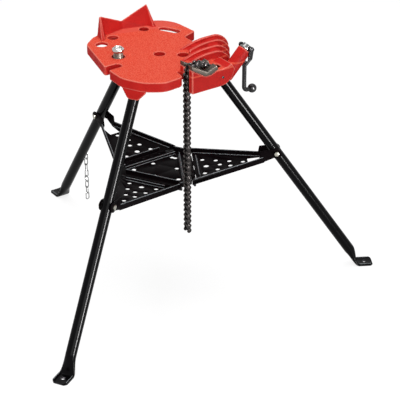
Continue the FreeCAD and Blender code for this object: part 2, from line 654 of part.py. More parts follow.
def make_base_plate():
    """Plate with its rim, tool holes and the three leg sockets."""
    face = Part.Face(plate_outline(skirt_low))
    solid = face.extrude(Vector(0, 0, size.skirt_height))
    hollow = face.makeOffset2D(-size.skirt_wall).extrude(Vector(0, 0, plate_low - skirt_low))
    solid = solid.cut(hollow)
    above = box((-400, -400, plate_low), (400, 400, size.plate_top))
    sockets = [socket.cut(above) for socket in leg_sockets()]
    bosses = [rod((x, y, skirt_low), (x, y, plate_low), getattr(size, name) + 2 * size.hole_boss)
              for name, x, y in TOOL_HOLES if name in DEEP_HOLES]
    solid = solid.fuse(sockets + bosses).cut(leg_pockets() + bolt_rooms())
    (ax, ay), (bx, by) = SLOT_ENDS
    slot = [rod((x, y, plate_low - 1), (x, y, size.plate_top + 1), size.tool_slot)
            for x, y in SLOT_ENDS]
    across = Vector(by - ay, ax - bx, 0)
    across.normalize()
    across = across * (size.tool_slot / 2)
    start, stop = Vector(ax, ay, plate_low - 1), Vector(bx, by, plate_low - 1)
    middle = prism([start + across, stop + across, stop - across, start - across],
                   (0, 0, size.plate_thick + 2))
    return solid.cut(tool_hole_cutters() + slot + [middle])


def make_pipe_rest():
    """Two horns with a V between them: webs that lean back, and a gusset at each outer end."""
    top = size.plate_top
    valley = top + size.rest_valley
    back = [Vector(-76, 223, 0), Vector(106, 237.5, 0)]
    along = back[1] - back[0]
    along.normalize()

    def back_y(x):
        return back[0].y + (x - back[0].x) * along.y / along.x

    def horn(inner, outer, toe, foot_end, tip_x, tip, side):
        """One horn: web from the valley to its tip, and the gusset that carries the tip."""
        y_inner, y_tip = back_y(inner), back_y(tip_x)
        r = size.rest_ridge
        web_points = [
            Vector(inner, foot_end[2], top), Vector(foot_end[0], foot_end[1], top),
            Vector(outer, back_y(outer), top), Vector(inner, y_inner, top),
            Vector(inner, y_inner - r, valley), Vector(tip_x, y_tip - r, tip),
            Vector(tip_x + side * r, back_y(tip_x + side * r), tip), Vector(inner, y_inner, valley)]
        gusset_points = [
            Vector(foot_end[0], foot_end[1], top), Vector(toe[0], toe[1], top),
            Vector(toe[0] + side * size.gusset, toe[1] + 3, top), Vector(outer, back_y(outer), top),
            Vector(tip_x, y_tip - r, tip), Vector(tip_x + side * r, back_y(tip_x + side * r), tip)]
        return hull(web_points).fuse(hull(gusset_points))

    right = horn(15, 111, (97, 176), (86, 200, 221), 107, top + size.right_horn, 1)
    left = horn(15, -74, (-77, 173), (-54, 207, 221), -61, top + size.left_horn, -1)
    return clean(right.fuse(left))


def hull(points):
    """Smallest convex solid round a few points."""
    faces = []
    count = len(points)
    seen = []
    for i in range(count):
        for j in range(i + 1, count):
            for k in range(j + 1, count):
                normal = (points[j] - points[i]).cross(points[k] - points[i])
                if normal.Length < 1e-6:
                    continue
                normal.normalize()
                offsets = [normal.dot(point - points[i]) for point in points]
                if min(offsets) < -1e-6 and max(offsets) > 1e-6:
                    continue
                if max(offsets) > 1e-6:
                    normal = normal * -1
                flat = [m for m, value in enumerate(offsets) if abs(value) <= 1e-6]
                if flat in seen:
                    continue
                seen.append(flat)
                centre = sum((points[m] for m in flat), Vector()) * (1.0 / len(flat))
                first = points[flat[0]] - centre
                second = normal.cross(first)
                ring = sorted(flat, key=lambda m: math.atan2((points[m] - centre).dot(second),
                                                             (points[m] - centre).dot(first)))
                loop = [points[m] for m in ring]
                faces.append(Part.Face(Part.makePolygon(loop + [loop[0]])))
    solid = Part.Solid(Part.Shell(faces))
    if solid.Volume < 0:
        solid.reverse()
    return solid


def crest_profile(left, right, crest):
    """Outline of a bending rib or groove floor in the XZ plane, with its crest at a height."""
    top = size.plate_top
    shoulder = right - size.rib_shoulder
    rise = Part.Arc(Vector(left, 0, top), Vector((left + shoulder) / 2, 0, crest - 0.16 * (crest - top)),
                    Vector(shoulder, 0, crest))
    fall = Part.Arc(Vector(shoulder, 0, crest), Vector(right - 0.27 * size.rib_shoulder, 0, top + 7),
                    Vector(right, 0, top - size.rib_drop))
    low = skirt_low
    edges = [rise.toShape(), fall.toShape()]
    corners = [Vector(right, 0, top - size.rib_drop), Vector(right, 0, low),
               Vector(left, 0, low), Vector(left, 0, top)]
    for start, stop in zip(corners, corners[1:]):
        edges.append(Part.LineSegment(start, stop).toShape())
    return Part.Face(Part.Wire(edges))


def make_bender():
    """Bending shoe: ribs with grooves between them, each rib longer than the one before."""
    crest = size.plate_top + size.rib_crest
    solids = []
    for k, (left, right) in enumerate(RIB_SPANS):
        y = size.rib_first + k * size.rib_pitch
        rib = crest_profile(left, right, crest).extrude(Vector(0, size.rib_thick, 0))
        rib.translate(Vector(0, y - size.rib_thick / 2, 0))
        solids.append(rib)
        if k + 1 < len(RIB_SPANS):
            next_left, next_right = RIB_SPANS[k + 1]
            floor = crest_profile((left + next_left) / 2 + 15,
                                  (right + next_right) / 2 - size.groove_depth,
                                  crest - size.groove_depth)
            floor = floor.extrude(Vector(0, size.rib_pitch - size.rib_thick, 0))
            floor.translate(Vector(0, y + size.rib_thick / 2, 0))
            solids.append(floor)
    return solids[0].fuse(solids[1:])


def jaw_outline(clear=0.0):
    """Corners of the V of a jaw and of its underside, in X and Z."""
    upper = [(x, size.plate_top + z) for x, z in JAW_V]
    (lx, lz), (mx, mz), (rx, rz) = upper
    thick = size.jaw_thick
    lower = [(rx + 6, rz - thick - 2 - clear), (mx + 14, mz - thick - clear),
             (mx - 6, mz - thick - clear), (lx, lz - thick - clear)]
    return upper, lower


def make_vise_body():
    """Two walls with the chain slot between them, the floor, the shelf and the sloping neck."""
    y_mid, half_slot = size.chain_line, size.chain_slot / 2
    front = y_mid - half_slot - size.jaw_depth
    back = y_mid + half_slot + size.rear_wall
    rear_limit = size.rib_first - size.rib_thick / 2
    upper, lower = jaw_outline()
    seat = list(reversed(lower))
    floor_z, top = size.vise_bottom, size.plate_top
    left = JAW_V[0][0]
    heel = neck_end - Vector(size.neck_reach, 0, size.neck_reach)
    wall = seat + [(seat[-1][0] + 10, seat[-1][1] - 4)] + [(x, top + z) for x, z in VISE_WALL]
    wall.append((left, floor_z))
    walls = prism([(x, front, z) for x, z in wall], (0, back - front, 0))
    shelf = prism([(x, back, top + z) for x, z in VISE_SHELF], (0, rear_limit - back, 0))
    neck = rod(tuple(heel - Vector(20, 0, 20)), tuple(neck_end), size.neck_od)
    solid = walls.fuse([shelf, neck])
    floor_x = left + 24
    room = [(left - 1, floor_z - 1), (floor_x, floor_z - 1), (floor_x, floor_z + size.vise_floor),
            (CHAIN_ROOM[0][0], floor_z + size.vise_floor)]
    room += [(x, top + z) for x, z in CHAIN_ROOM] + [(left - 1, top + CHAIN_ROOM[-1][1])]
    slot = prism([(x, y_mid - half_slot, z) for x, z in room], (0, size.chain_slot, 0))
    bore = rod(tuple(neck_end - neck_axis * 92), tuple(neck_end + neck_axis), size.neck_bore)
    tail = box((left - 1, y_mid + half_slot - 0.01, floor_z - 1), (left + 16, back + 1, plate_low - 1))
    return solid.cut([slot, bore, tail])


def make_casting():
    """Cut the one casting into pieces that meet face to face, for their collision shapes."""
    plate = make_base_plate()
    vise = make_vise_body()
    bender = make_bender()
    slab = Part.Face(plate_outline(skirt_low)).extrude(Vector(0, 0, size.skirt_height))
    room = [slab] + leg_pockets() + bolt_rooms() + leg_sockets()
    vise = vise.cut(room)
    bender = bender.cut(room + tool_hole_cutters(size.hole_room) + [vise])
    plate = plate.cut(vise)
    feature("base_plate", clean(plate))
    feature("vise_body", clean(biggest(vise)))
    feature("bending_shoe", clean(biggest(bender)))
    feature("pipe_rest", make_pipe_rest())


def biggest(shape):
    return max(shape.Solids, key=lambda solid: solid.Volume)


# ---------------------------------------------------------------- vise

def make_jaw(label, near_y):
    """Toothed V jaw, its near face at a distance along Y."""
    upper, lower = jaw_outline()
    solid = prism([(x, near_y, z) for x, z in upper + lower], (0, size.jaw_depth, 0))
    teeth = []
    for (ax, az), (bx, bz) in zip(upper, upper[1:]):
        run = math.hypot(bx - ax, bz - az)
        count = int(run / size.jaw_pitch) - 1
        for k in range(count):
            share = (k + 1) / (count + 1)
            x, z = ax + share * (bx - ax), az + share * (bz - az)
            nx, nz = -(bz - az) / run, (bx - ax) / run
            tx, tz = (bx - ax) / run, (bz - az) / run
            wide, deep = size.jaw_tooth, size.jaw_tooth
            teeth.append(prism([(x - wide * tx + nx, near_y - 1, z - wide * tz + nz),
                                (x + wide * tx + nx, near_y - 1, z + wide * tz + nz),
                                (x - deep * nx, near_y - 1, z - deep * nz)],
                               (0, size.jaw_depth + 2, 0)))
    return feature(label, clean(solid.cut(teeth)))


def make_jaw_screws():
    """Cap screw under the vise that holds the rear jaw, and set screw of the front jaw."""
    front = size.chain_line - size.chain_slot / 2 - size.jaw_depth
    rear = size.chain_line + (size.chain_slot + size.jaw_depth) / 2
    x, y, z = SET_SCREW
    cap = hexagon(size.bolt_head, size.link_bolt / 2, (JAW_V[2][0], rear, size.vise_bottom), (0, 0, -1))
    stud = rod((x, front, size.plate_top + z), (x, front - y, size.plate_top + z), size.set_screw)
    feature("jaw_screws", Part.makeCompound([cap, stud]))


def chain_joints():
    """Joints of the chain from where it hangs to the eye of the chain screw."""
    joints = [Vector(size.hang_x, size.chain_line, size.hang_z)]
    for angle in LINK_ANGLES:
        step = Vector(math.cos(math.radians(angle)), 0, math.sin(math.radians(angle)))
        joints.append(joints[-1] + step * size.chain_pitch)
    return joints


def figure_eight(start, stop, y_low, thick):
    """Chain plate with round ends and a waist between two joints."""
    radius = size.link_height_plate / 2
    along = stop - start
    along.normalize()
    side = Vector(-along.z, 0, along.x)
    ends = [Part.makeCylinder(radius, thick, Vector(p.x, y_low, p.z), Vector(0, 1, 0))
            for p in (start, stop)]
    waist = 0.62 * radius
    points = [start + side * waist, stop + side * waist, stop - side * waist, start - side * waist]
    bar = prism([(p.x, y_low, p.z) for p in points], (0, thick, 0))
    return ends[0].fuse([ends[1], bar])


def outer_link(start, stop):
    """Two outer plates riveted to their pins."""
    half, thick = size.chain_width / 2, size.link_plate
    middle = size.chain_line
    solids = [figure_eight(start, stop, middle - half, thick),
              figure_eight(start, stop, middle + half - thick, thick)]
    pins = [rod((p.x, middle - half, p.z), (p.x, middle + half, p.z), size.chain_pin)
            for p in (start, stop)]
    return solids[0].fuse(solids[1:] + pins)


def inner_link(start, stop):
    """Two inner plates joined by their bushes."""
    half = size.chain_width / 2 - size.link_plate - size.chain_play
    thick, middle = size.link_plate, size.chain_line
    solids = [figure_eight(start, stop, middle - half, thick),
              figure_eight(start, stop, middle + half - thick, thick)]
    bushes = [rod((p.x, middle - half, p.z), (p.x, middle + half, p.z), size.chain_bush)
              for p in (start, stop)]
    bores = [rod((p.x, middle - half - 1, p.z), (p.x, middle + half + 1, p.z),
                 size.chain_pin + 2 * size.chain_play) for p in (start, stop)]
    return solids[0].fuse(solids[1:] + bushes).cut(bores)


def make_chain():
    """Chain over the V and the free chain that hangs from it."""
    joints = chain_joints()
    over = list(zip(joints, joints[1:]))
    outer = [outer_link(a, b) for k, (a, b) in enumerate(over) if k % 2 == 1]
    inner = [inner_link(a, b) for k, (a, b) in enumerate(over) if k % 2 == 0]
    feature("saddle_chain_outer_links", Part.makeCompound(outer))
    feature("saddle_chain_inner_links", Part.makeCompound(inner))
    start = joints[0]
    hanging = [start - Vector(0, 0, size.chain_pitch * k) for k in range(int(size.hang_links) + 1)]
    free = list(zip(hanging, hanging[1:]))
    outer = [outer_link(b, a) for k, (a, b) in enumerate(free) if k % 2 == 0]
    inner = [inner_link(b, a) for k, (a, b) in enumerate(free) if k % 2 == 1]
    feature("hanging_chain_outer_links", Part.makeCompound(outer))
    feature("hanging_chain_inner_links", Part.makeCompound(inner))


def make_chain_screw():
    """Screw with a flat eye that holds the last joint of the chain."""
    eye = chain_joints()[-1]
    gap = size.chain_width / 2 - size.link_plate - 2 * size.chain_play
    travel = size.screw_travel
    start = eye + neck_axis * (size.link_height_plate / 2 + size.chain_play + travel)
    stop = neck_end + neck_axis * (size.washer_thick + size.nut_length - 3)
    shank = rod(tuple(start), tuple(stop), size.screw_dia)
    tip = 0.93 * size.link_height_plate / 2
    tongue = Part.makeCylinder(tip, 2 * gap, Vector(eye.x, eye.y - gap, eye.z), Vector(0, 1, 0))
    across = Vector(-neck_axis.z, 0, neck_axis.x)
    root = start + neck_axis * 4
    bar = prism([(p.x, eye.y - gap, p.z) for p in (eye + across * tip, root + across * tip,
                                                   root - across * tip, eye - across * tip)],
                (0, 2 * gap, 0))
    hole = size.chain_pin / 2 + size.chain_play
    near, far = eye - neck_axis * size.chain_play, eye + neck_axis * travel
    eyes = [Part.makeCylinder(hole, 4 * gap, Vector(p.x, p.y - 2 * gap, p.z), Vector(0, 1, 0))
            for p in (near, far)]
    between = prism([(p.x, eye.y - 2 * gap, p.z) for p in (near + across * hole, far + across * hole,
                                                       far - across * hole, near - across * hole)],
                    (0, 4 * gap, 0))
    feature("chain_screw", tongue.fuse([bar, shank]).cut(eyes + [between]))


def make_swivel_nut():
    """Thrust washer, and the flanged nut that turns on the end of the neck."""
    bore = size.screw_dia + 2 * size.bolt_clear
    end = neck_end
    washer = rod(tuple(end), tuple(end + neck_axis * size.washer_thick), size.nut_flange)
    washer = washer.cut(rod(tuple(end - neck_axis), tuple(end + neck_axis * 3), bore))
    feature("thrust_washer", washer)
    start = end + neck_axis * size.washer_thick
    flange = rod(tuple(start), tuple(start + neck_axis * size.nut_flange_thick), size.nut_flange)
    body = rod(tuple(start), tuple(start + neck_axis * size.nut_length), size.nut_body)
    nut = flange.fuse(body).cut(rod(tuple(start - neck_axis), tuple(start + neck_axis * 40), bore))
    holes = rod((crank_centre.x, crank_centre.y - 40, crank_centre.z),
                (crank_centre.x, crank_centre.y + 40, crank_centre.z), size.yoke_pin)
    feature("swivel_nut", nut.cut(holes))


def make_crank():
    """Forked crank that hangs from two pins on the nut, its rod bent out to a round knob."""
    c = crank_centre
    stem_x = c.x - size.crank_inset
    half = size.yoke_gap / 2
    outer = half + size.yoke_arm
    w = size.yoke_width
    root = size.crank_rod / 2
    crotch = c.z - size.yoke_drop
    side_view = [(c.x - w / 2, c.z), (stem_x - root, crotch), (stem_x - root, crotch - 14),
                 (stem_x + root, crotch - 14), (stem_x + root, crotch), (c.x + w / 2, c.z)]
    front_view = [(c.y - outer, c.z), (c.y - outer, crotch + 12), (c.y - root, crotch - 14),
                  (c.y + root, crotch - 14), (c.y + outer, crotch + 12), (c.y + outer, c.z),
                  (c.y + half, c.z), (c.y + half, crotch + 8), (c.y + half - 8, crotch),
                  (c.y - half + 8, crotch), (c.y - half, crotch + 8), (c.y - half, c.z)]
    across = prism([(x, c.y - 2 * outer, z) for x, z in side_view], (0, 4 * outer, 0))
    along = prism([(c.x - 2 * w, y, z) for y, z in front_view], (4 * w, 0, 0))
    fork = across.common(along)
    heads = [Part.makeCylinder(w / 2, size.yoke_arm, Vector(c.x, c.y + y, c.z), Vector(0, 1, 0))
             for y in (-outer, half)]
    bottom = c.z - size.crank_drop
    bend, reach = size.crank_bend, size.knob_reach
    top = Vector(stem_x, c.y, crotch - 6)
    path = Part.Wire([
        Part.LineSegment(top, Vector(stem_x, c.y, bottom + bend)).toShape(),
        Part.Arc(Vector(stem_x, c.y, bottom + bend),
                 Vector(stem_x + bend * (1 - math.cos(math.pi / 4)), c.y,
                        bottom + bend * (1 - math.sin(math.pi / 4))),
                 Vector(stem_x + bend, c.y, bottom)).toShape(),
        Part.LineSegment(Vector(stem_x + bend, c.y, bottom), Vector(stem_x + reach, c.y, bottom)).toShape()])
    ring = Part.Wire(Part.makeCircle(size.crank_rod / 2, top, Vector(0, 0, 1)))
    stem = path.makePipeShell([ring], True, True)
    bores = rod((c.x, c.y - 2 * outer, c.z), (c.x, c.y + 2 * outer, c.z), size.yoke_pin + size.bolt_clear)
    knob = Part.makeSphere(size.knob_dia / 2, Vector(stem_x + reach + size.knob_dia / 4, c.y, bottom))
    shape = fork.fuse(heads + [stem]).cut([bores, knob])
    feature("crank", clean(biggest(shape)))
    feature("crank_knob", knob)
    pins = []
    for side in (-1, 1):
        inner = c.y + side * (size.screw_dia / 2 + 1)
        pin = rod((c.x, inner, c.z), (c.x, c.y + side * (outer + 2), c.z), size.yoke_pin)
        head = rod((c.x, c.y + side * (outer + 0.3), c.z), (c.x, c.y + side * (outer + 3), c.z),
                   1.5 * size.yoke_pin)
        pins.append(pin.fuse(head))
    feature("crank_pins", Part.makeCompound(pins))


def make_brace_screw():
    """Ceiling brace: screw that stands in the plate, with a cup on top."""
    x, y = BRACE_AT
    top = size.plate_top + size.brace_show
    shank = rod((x, y, plate_low - 20), (x, y, top), size.brace_screw)
    cup = rod((x, y, top), (x, y, top + 9), size.brace_cup)
    cup = cup.fuse(Part.makeCone(size.brace_cup / 2, size.brace_cup / 2 - 5, 4,
                                 Vector(x, y, top + 9), Vector(0, 0, 1)))
    dish = rod((x, y, top + 7), (x, y, top + 20), 0.6 * size.brace_cup)
    feature("brace_screw", shank)
    feature("brace_cup", cup.cut(dish))
    collar = rod((x, y, plate_low - 20), (x, y, plate_low), size.brace_hole + 14)
    feature("brace_nut", collar.cut(rod((x, y, plate_low - 30), (x, y, plate_low + 5),
                                        size.brace_screw + 2 * size.bolt_clear)))


# ---------------------------------------------------------------- tie chain

def ring_link(length, width, wire):
    """Stadium-shaped wire link in the YZ plane, its middle at the origin."""
    radius = (width - wire) / 2
    straight = (length - width) / 2
    torus = Part.makeTorus(radius, wire / 2, Vector(), Vector(1, 0, 0))
    if straight <= 0:
        return torus
    upper = torus.common(box((-50, -50, 0), (50, 50, 50)))
    lower = torus.common(box((-50, -50, -50), (50, 50, 0)))
    upper.translate(Vector(0, 0, straight))
    lower.translate(Vector(0, 0, -straight))
    sides = [rod((0, side * radius, -straight), (0, side * radius, straight), wire) for side in (-1, 1)]
    return upper.fuse([lower] + sides)


def make_tie_chain():
    """Stud on the rear leg and the short chain that hangs from it."""
    wire = size.tie_wire
    radius = size.pivot_radius + (size.pivot_height - size.tie_height) * math.tan(splay_rad)
    reach = 2.8 * wire
    place = radial(REAR)
    stud = rod((radius, -tube_radius + 1, size.tie_height), (radius, -tube_radius - reach, size.tie_height),
               1.6 * wire)
    head = rod((radius, -tube_radius - reach, size.tie_height),
               (radius, -tube_radius - reach - 2, size.tie_height), 3.4 * wire)
    axis_point = Vector(size.pivot_radius, 0, size.pivot_height)
    tube = rod(tuple(axis_point), tuple(axis_point + lean * 700), size.tube_od)
    feature("tie_chain_stud", placed(biggest(stud.fuse(head).cut(tube)), place))
    lengths = [size.tie_ring] + [size.tie_link] * 3 + [size.tie_ring] + [size.tie_link] * 3
    z = size.tie_height + 0.8 * wire + size.chain_play - size.tie_ring / 2 + wire
    middle = -tube_radius - reach / 2
    solids = []
    for k, length in enumerate(lengths):
        if k:
            z -= (lengths[k - 1] + length) / 2 - 2 * wire - size.chain_play
        width = size.tie_ring if length == size.tie_ring else size.tie_link_width
        link = ring_link(length, width, wire)
        if k % 2 == 0:
            link.rotate(Vector(), Vector(0, 0, 1), 90)
        link.translate(Vector(radius, middle, z))
        solids.append(placed(link, place))
    feature("tie_chain", Part.makeCompound(solids))


for leg_name, leg_azimuth in AZIMUTH.items():
    make_leg(leg_name, leg_azimuth)
    make_link_bolts(leg_name, leg_azimuth)
    make_leaf(leg_name, leg_azimuth)
make_pivot_bolts()
make_tray_middle()
make_hinge_pins()
make_casting()
make_jaw("front_jaw", size.chain_line - size.chain_slot / 2 - size.jaw_depth)
make_jaw("rear_jaw", size.chain_line + size.chain_slot / 2)
make_jaw_screws()
make_chain()
make_chain_screw()
make_swivel_nut()
make_crank()
make_brace_screw()
make_tie_chain()

doc.recompute()
for item in doc.Objects:
    if "Invalid" in item.State or "Error" in item.State:
        raise RuntimeError("%s did not compute: %s" % (item.Label, item.State))
os.makedirs("parts", exist_ok=True)
for item in made:
    if item.Shape.isNull() or not item.Shape.isValid():
        raise RuntimeError("%s has no valid shape" % item.Label)
    item.Shape.exportStep("parts/%s.step" % item.Label)
    print("%-30s %3d solids %12.0f mm3" % (item.Label, len(item.Shape.Solids), item.Shape.Volume))
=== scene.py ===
"""Tripod pipe vise stand: castings, legs, threads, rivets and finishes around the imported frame.

Every length in a class is in metres unless its name says otherwise. A leg is worked out in its
radial frame (X outward from the middle of the stand, Y across, Z up) and turned to its azimuth.
"""
from __future__ import annotations

import logging
import math
from dataclasses import dataclass, field
from enum import Enum

import bmesh
import bpy
import numpy as np
from mathutils import Euler, Matrix, Vector


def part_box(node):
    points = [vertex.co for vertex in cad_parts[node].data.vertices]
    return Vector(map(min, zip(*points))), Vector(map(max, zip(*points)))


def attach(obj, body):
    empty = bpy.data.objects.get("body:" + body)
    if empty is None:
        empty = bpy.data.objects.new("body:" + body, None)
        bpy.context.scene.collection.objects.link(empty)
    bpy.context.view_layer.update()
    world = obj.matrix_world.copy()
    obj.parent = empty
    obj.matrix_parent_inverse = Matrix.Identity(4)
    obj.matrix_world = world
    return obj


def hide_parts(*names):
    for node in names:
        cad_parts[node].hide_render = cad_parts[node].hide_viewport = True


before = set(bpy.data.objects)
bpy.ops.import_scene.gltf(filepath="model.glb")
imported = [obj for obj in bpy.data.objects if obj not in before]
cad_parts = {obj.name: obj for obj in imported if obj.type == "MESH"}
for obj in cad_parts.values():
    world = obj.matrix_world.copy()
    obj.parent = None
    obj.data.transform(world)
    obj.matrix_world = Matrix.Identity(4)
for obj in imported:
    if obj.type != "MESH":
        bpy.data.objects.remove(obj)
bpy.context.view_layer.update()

Object = bpy.types.Object
Material = bpy.types.Material
Tree = bpy.types.NodeTree
Socket = bpy.types.NodeSocket
Colour = tuple[float, float, float, float]

logging.basicConfig(level=logging.INFO, format="%(message)s")
LOG = logging.getLogger("vise_stand")
MM = 0.001
WELD_DISTANCE = 0.00001
WHITE = (1.0, 1.0, 1.0, 1.0)
# Numbers of a Mix node's sockets when it mixes colours.
MIX_SHARE, MIX_BELOW, MIX_ABOVE, MIXED = 0, 6, 7, 2


class Azimuth(Enum):
    """Direction of each leg, in degrees from +X."""

    REAR = 90.0
    LEFT = -150.0
    RIGHT = -30.0


# ---------------------------------------------------------------- colours and nodes

def linear(hex_colour: str) -> Colour:
    """Turn an sRGB hex colour into linear RGBA.

    Args:
        hex_colour: Six hex digits with a leading hash.

    Returns:
        Linear red, green, blue and an alpha of one.
    """
    codes = [int(hex_colour[k:k + 2], 16) / 255 for k in (1, 3, 5)]
    values = [c / 12.92 if c <= 0.04045 else ((c + 0.055) / 1.055) ** 2.4 for c in codes]
    return (values[0], values[1], values[2], 1.0)


def add_node(tree: Tree, kind: str,
             settings: dict[str | int, object] | None = None) -> bpy.types.Node:
    """Add a node with its settings and links.

    Args:
        tree: Node tree that gets the node.
        kind: Blender's type name of the node.
        settings: Names of properties, and names or numbers of inputs, with their values. An input
            whose value is a socket is linked to it.

    Returns:
        The new node.
    """
    node = tree.nodes.new(kind)
    for key, value in (settings or {}).items():
        if isinstance(key, str) and key not in node.inputs:
            setattr(node, key, value)
        elif isinstance(value, Socket):
            tree.links.new(value, node.inputs[key])
        else:
            node.inputs[key].default_value = value
    return node


@dataclass(frozen=True)
class Layer:
    """Colour that lies over those below it, by a share.

    The share is the value itself or, with a band, the value's place between the two limits of
    the band, clamped and times the strength.
    """

    value: Socket
    colour: Colour | Socket
    band: tuple[float, float] | None = None
    strength: float = 1.0


def layered(tree: Tree, base: Colour, layers: list[Layer]) -> Socket:
    """Lay colours over a base, one after the other.

    Args:
        tree: Node tree of the material.
        base: Linear colour under all layers.
        layers: Layers from the lowest up.

    Returns:
        Output socket of the colour on top.
    """
    colour = base
    for layer in layers:
        share = layer.value
        if layer.band is not None:
            low, high = layer.band
            share = add_node(tree, "ShaderNodeMapRange", {
                "Value": share, "From Min": low, "From Max": high, "To Min": 0.0,
                "To Max": layer.strength}).outputs["Result"]
        colour = add_node(tree, "ShaderNodeMix", {
            "data_type": "RGBA", MIX_SHARE: share, MIX_BELOW: colour,
            MIX_ABOVE: layer.colour}).outputs[MIXED]
    return colour


def seen_share(tree: Tree) -> Socket:
    """Share of rays that show a surface: from the camera, off gloss or through glass.

    Args:
        tree: Node tree of the world or of a stage material.

    Returns:
        Socket with one for those rays and zero for the rays that carry light.
    """
    path = add_node(tree, "ShaderNodeLightPath").outputs
    seen = path["Is Camera Ray"]
    for kind in ("Is Glossy Ray", "Is Transmission Ray"):
        seen = add_node(tree, "ShaderNodeMath",
                        {"operation": "MAXIMUM", 0: seen, 1: path[kind]}).outputs[0]
    return seen


def new_material(name: str) -> tuple[Material, Tree, bpy.types.Node, Socket]:
    """Start a material.

    Args:
        name: Name of the material.

    Returns:
        The material, its node tree, its shader and the socket with the object coordinates.
    """
    material = bpy.data.materials.new(name)
    material.use_nodes = True
    tree = material.node_tree
    place = add_node(tree, "ShaderNodeTexCoord").outputs["Object"]
    return material, tree, tree.nodes["Principled BSDF"], place


# Parts of a noise's range over which a finish passes from one colour or roughness to the next.
CLOUD_BAND = (0.35, 0.68)
GRAIN_BAND = (0.42, 0.66)
ROUGH_BAND = (0.3, 0.7)
# Part of a sine over which a groove goes down to its bottom, and how dark the bottom is: painted
# shade in the grooves.
GROOVE_BAND = (0.1, 0.7)
GROOVE_SHADE_SHARE = 0.85


@dataclass(frozen=True)
class Finish:
    """One surface finish: base colour, clouding, fine grain, roughness range and bump.

    The grain is drawn 1 to 2 mm wide, coarser than the real one, so that it shows.
    The edge colour, the orange peel and the grooves come only with an edge_share, a peel_bump_mm
    and a groove_mm above zero. Edges are told by Pointiness, which is 0.5 on a flat face. The
    pale edge colour is wear on the jaws and the chain, and a painted highlight on the black enamel
    and the polished plate. The grooves are dark stripes of colour alone: painted shade.
    """

    name: str
    colour: str
    cloud_colour: str
    grain_colour: str
    roughness: float
    spread: float
    cloud_mm: float
    grain_mm: float
    grain_share: float
    bump_mm: float
    metallic: float = 0.0
    edge_colour: str = "#FFFFFF"
    edge_share: float = 0.0
    edge_from: float = 0.54
    edge_to: float = 0.62
    specular: float = 0.5
    peel_mm: float = 0.0
    peel_bump_mm: float = 0.0
    groove_mm: float = 0.0
    cloud_detail: float = 4.0
    grain_detail: float = 2.0
    peel_detail: float = 1.0
    layer_strength: float = 0.55

    def build(self) -> Material:
        """Make the material.

        Returns:
            The material.
        """
        material, tree, shader, place = new_material(self.name)
        cloud, grain = (
            add_node(tree, "ShaderNodeTexNoise", {
                "Vector": place, "Scale": 1 / (size_mm * MM), "Detail": detail,
                "Roughness": self.layer_strength}).outputs["Fac"]
            for size_mm, detail in ((self.cloud_mm, self.cloud_detail),
                                    (self.grain_mm, self.grain_detail)))
        layers = [Layer(cloud, linear(self.cloud_colour), CLOUD_BAND),
                  Layer(grain, linear(self.grain_colour), GRAIN_BAND, self.grain_share)]
        # Pale edges: wear on the jaws and the chain, a painted highlight on the black enamel and the
        # polished plate.
        if self.edge_share > 0:
            edge = add_node(tree, "ShaderNodeNewGeometry").outputs["Pointiness"]
            layers.append(Layer(edge, linear(self.edge_colour), (self.edge_from, self.edge_to),
                                self.edge_share))
        # Grooves darker towards their bottoms: painted shade.
        if self.groove_mm > 0:
            layers.append(Layer(self._groove_wave(tree, place), linear(self.cloud_colour),
                                GROOVE_BAND, GROOVE_SHADE_SHARE))
        tree.links.new(layered(tree, linear(self.colour), layers), shader.inputs["Base Color"])
        rough = add_node(tree, "ShaderNodeMapRange", {
            "Value": cloud, "From Min": ROUGH_BAND[0], "From Max": ROUGH_BAND[1],
            "To Min": self.roughness - self.spread, "To Max": self.roughness + self.spread})
        tree.links.new(rough.outputs["Result"], shader.inputs["Roughness"])
        normal = add_node(tree, "ShaderNodeBump", {
            "Strength": 1.0, "Distance": self.bump_mm * MM, "Height": grain}).outputs["Normal"]
        if self.peel_bump_mm > 0:
            peel = add_node(tree, "ShaderNodeTexNoise", {
                "Vector": place, "Scale": 1 / (self.peel_mm * MM), "Detail": self.peel_detail,
                "Roughness": self.layer_strength}).outputs["Fac"]
            normal = add_node(tree, "ShaderNodeBump", {
                "Strength": 1.0, "Distance": self.peel_bump_mm * MM, "Height": peel,
                "Normal": normal}).outputs["Normal"]
        tree.links.new(normal, shader.inputs["Normal"])
        shader.inputs["Metallic"].default_value = self.metallic
        shader.inputs["Specular IOR Level"].default_value = self.specular
        return material

    def _groove_wave(self, tree: Tree, place: Socket) -> Socket:
        """Wave of cut grooves that run along Y: the sine of X, with one turn each groove_mm.

        Args:
            tree: Node tree of the material.
            place: Socket with the object coordinates.

        Returns:
            Socket with one in the middle of a groove and minus one between two grooves.
        """
        across = add_node(tree, "ShaderNodeSeparateXYZ", {"Vector": place}).outputs["X"]
        turn = add_node(tree, "ShaderNodeMath", {
            "operation": "MULTIPLY", 0: across, 1: 2 * math.pi / (self.groove_mm * MM)})
        wave = add_node(tree, "ShaderNodeMath", {"operation": "SINE", 0: turn.outputs[0]})
        return wave.outputs[0]


# Baked black gloss enamel on steel tube: deep black with one clear streak of light, and pale
# edges and ridge tops that are a painted highlight.
BLACK_ENAMEL = Finish(
    "black_enamel_on_tube", "#050406", "#080709", "#0B0A0C", roughness=0.19, spread=0.02,
    cloud_mm=90.0, grain_mm=2.0, grain_share=0.5, bump_mm=0.02,
    edge_colour="#9A969E", edge_share=0.8, specular=0.06, peel_mm=9.0, peel_bump_mm=0.03)
# The same enamel on folded sheet steel, a little duller.
BLACK_SHEET = Finish(
    "black_enamel_on_sheet", "#090507", "#100A0D", "#161013", roughness=0.30, spread=0.05,
    cloud_mm=70.0, grain_mm=2.0, grain_share=0.5, bump_mm=0.03, specular=0.012)
# Pale finish of the rods on the folds and hems of the sheets and the ridges of the feet: a painted
# highlight where they take the light.
PAINTED_FOLD_HIGHLIGHT = Finish(
    "painted_highlight_on_folds", "#8C9194", "#63686C", "#A9AEB2", roughness=0.45, spread=0.06,
    cloud_mm=22.0, grain_mm=1.5, grain_share=0.6, bump_mm=0.04, specular=0.04)
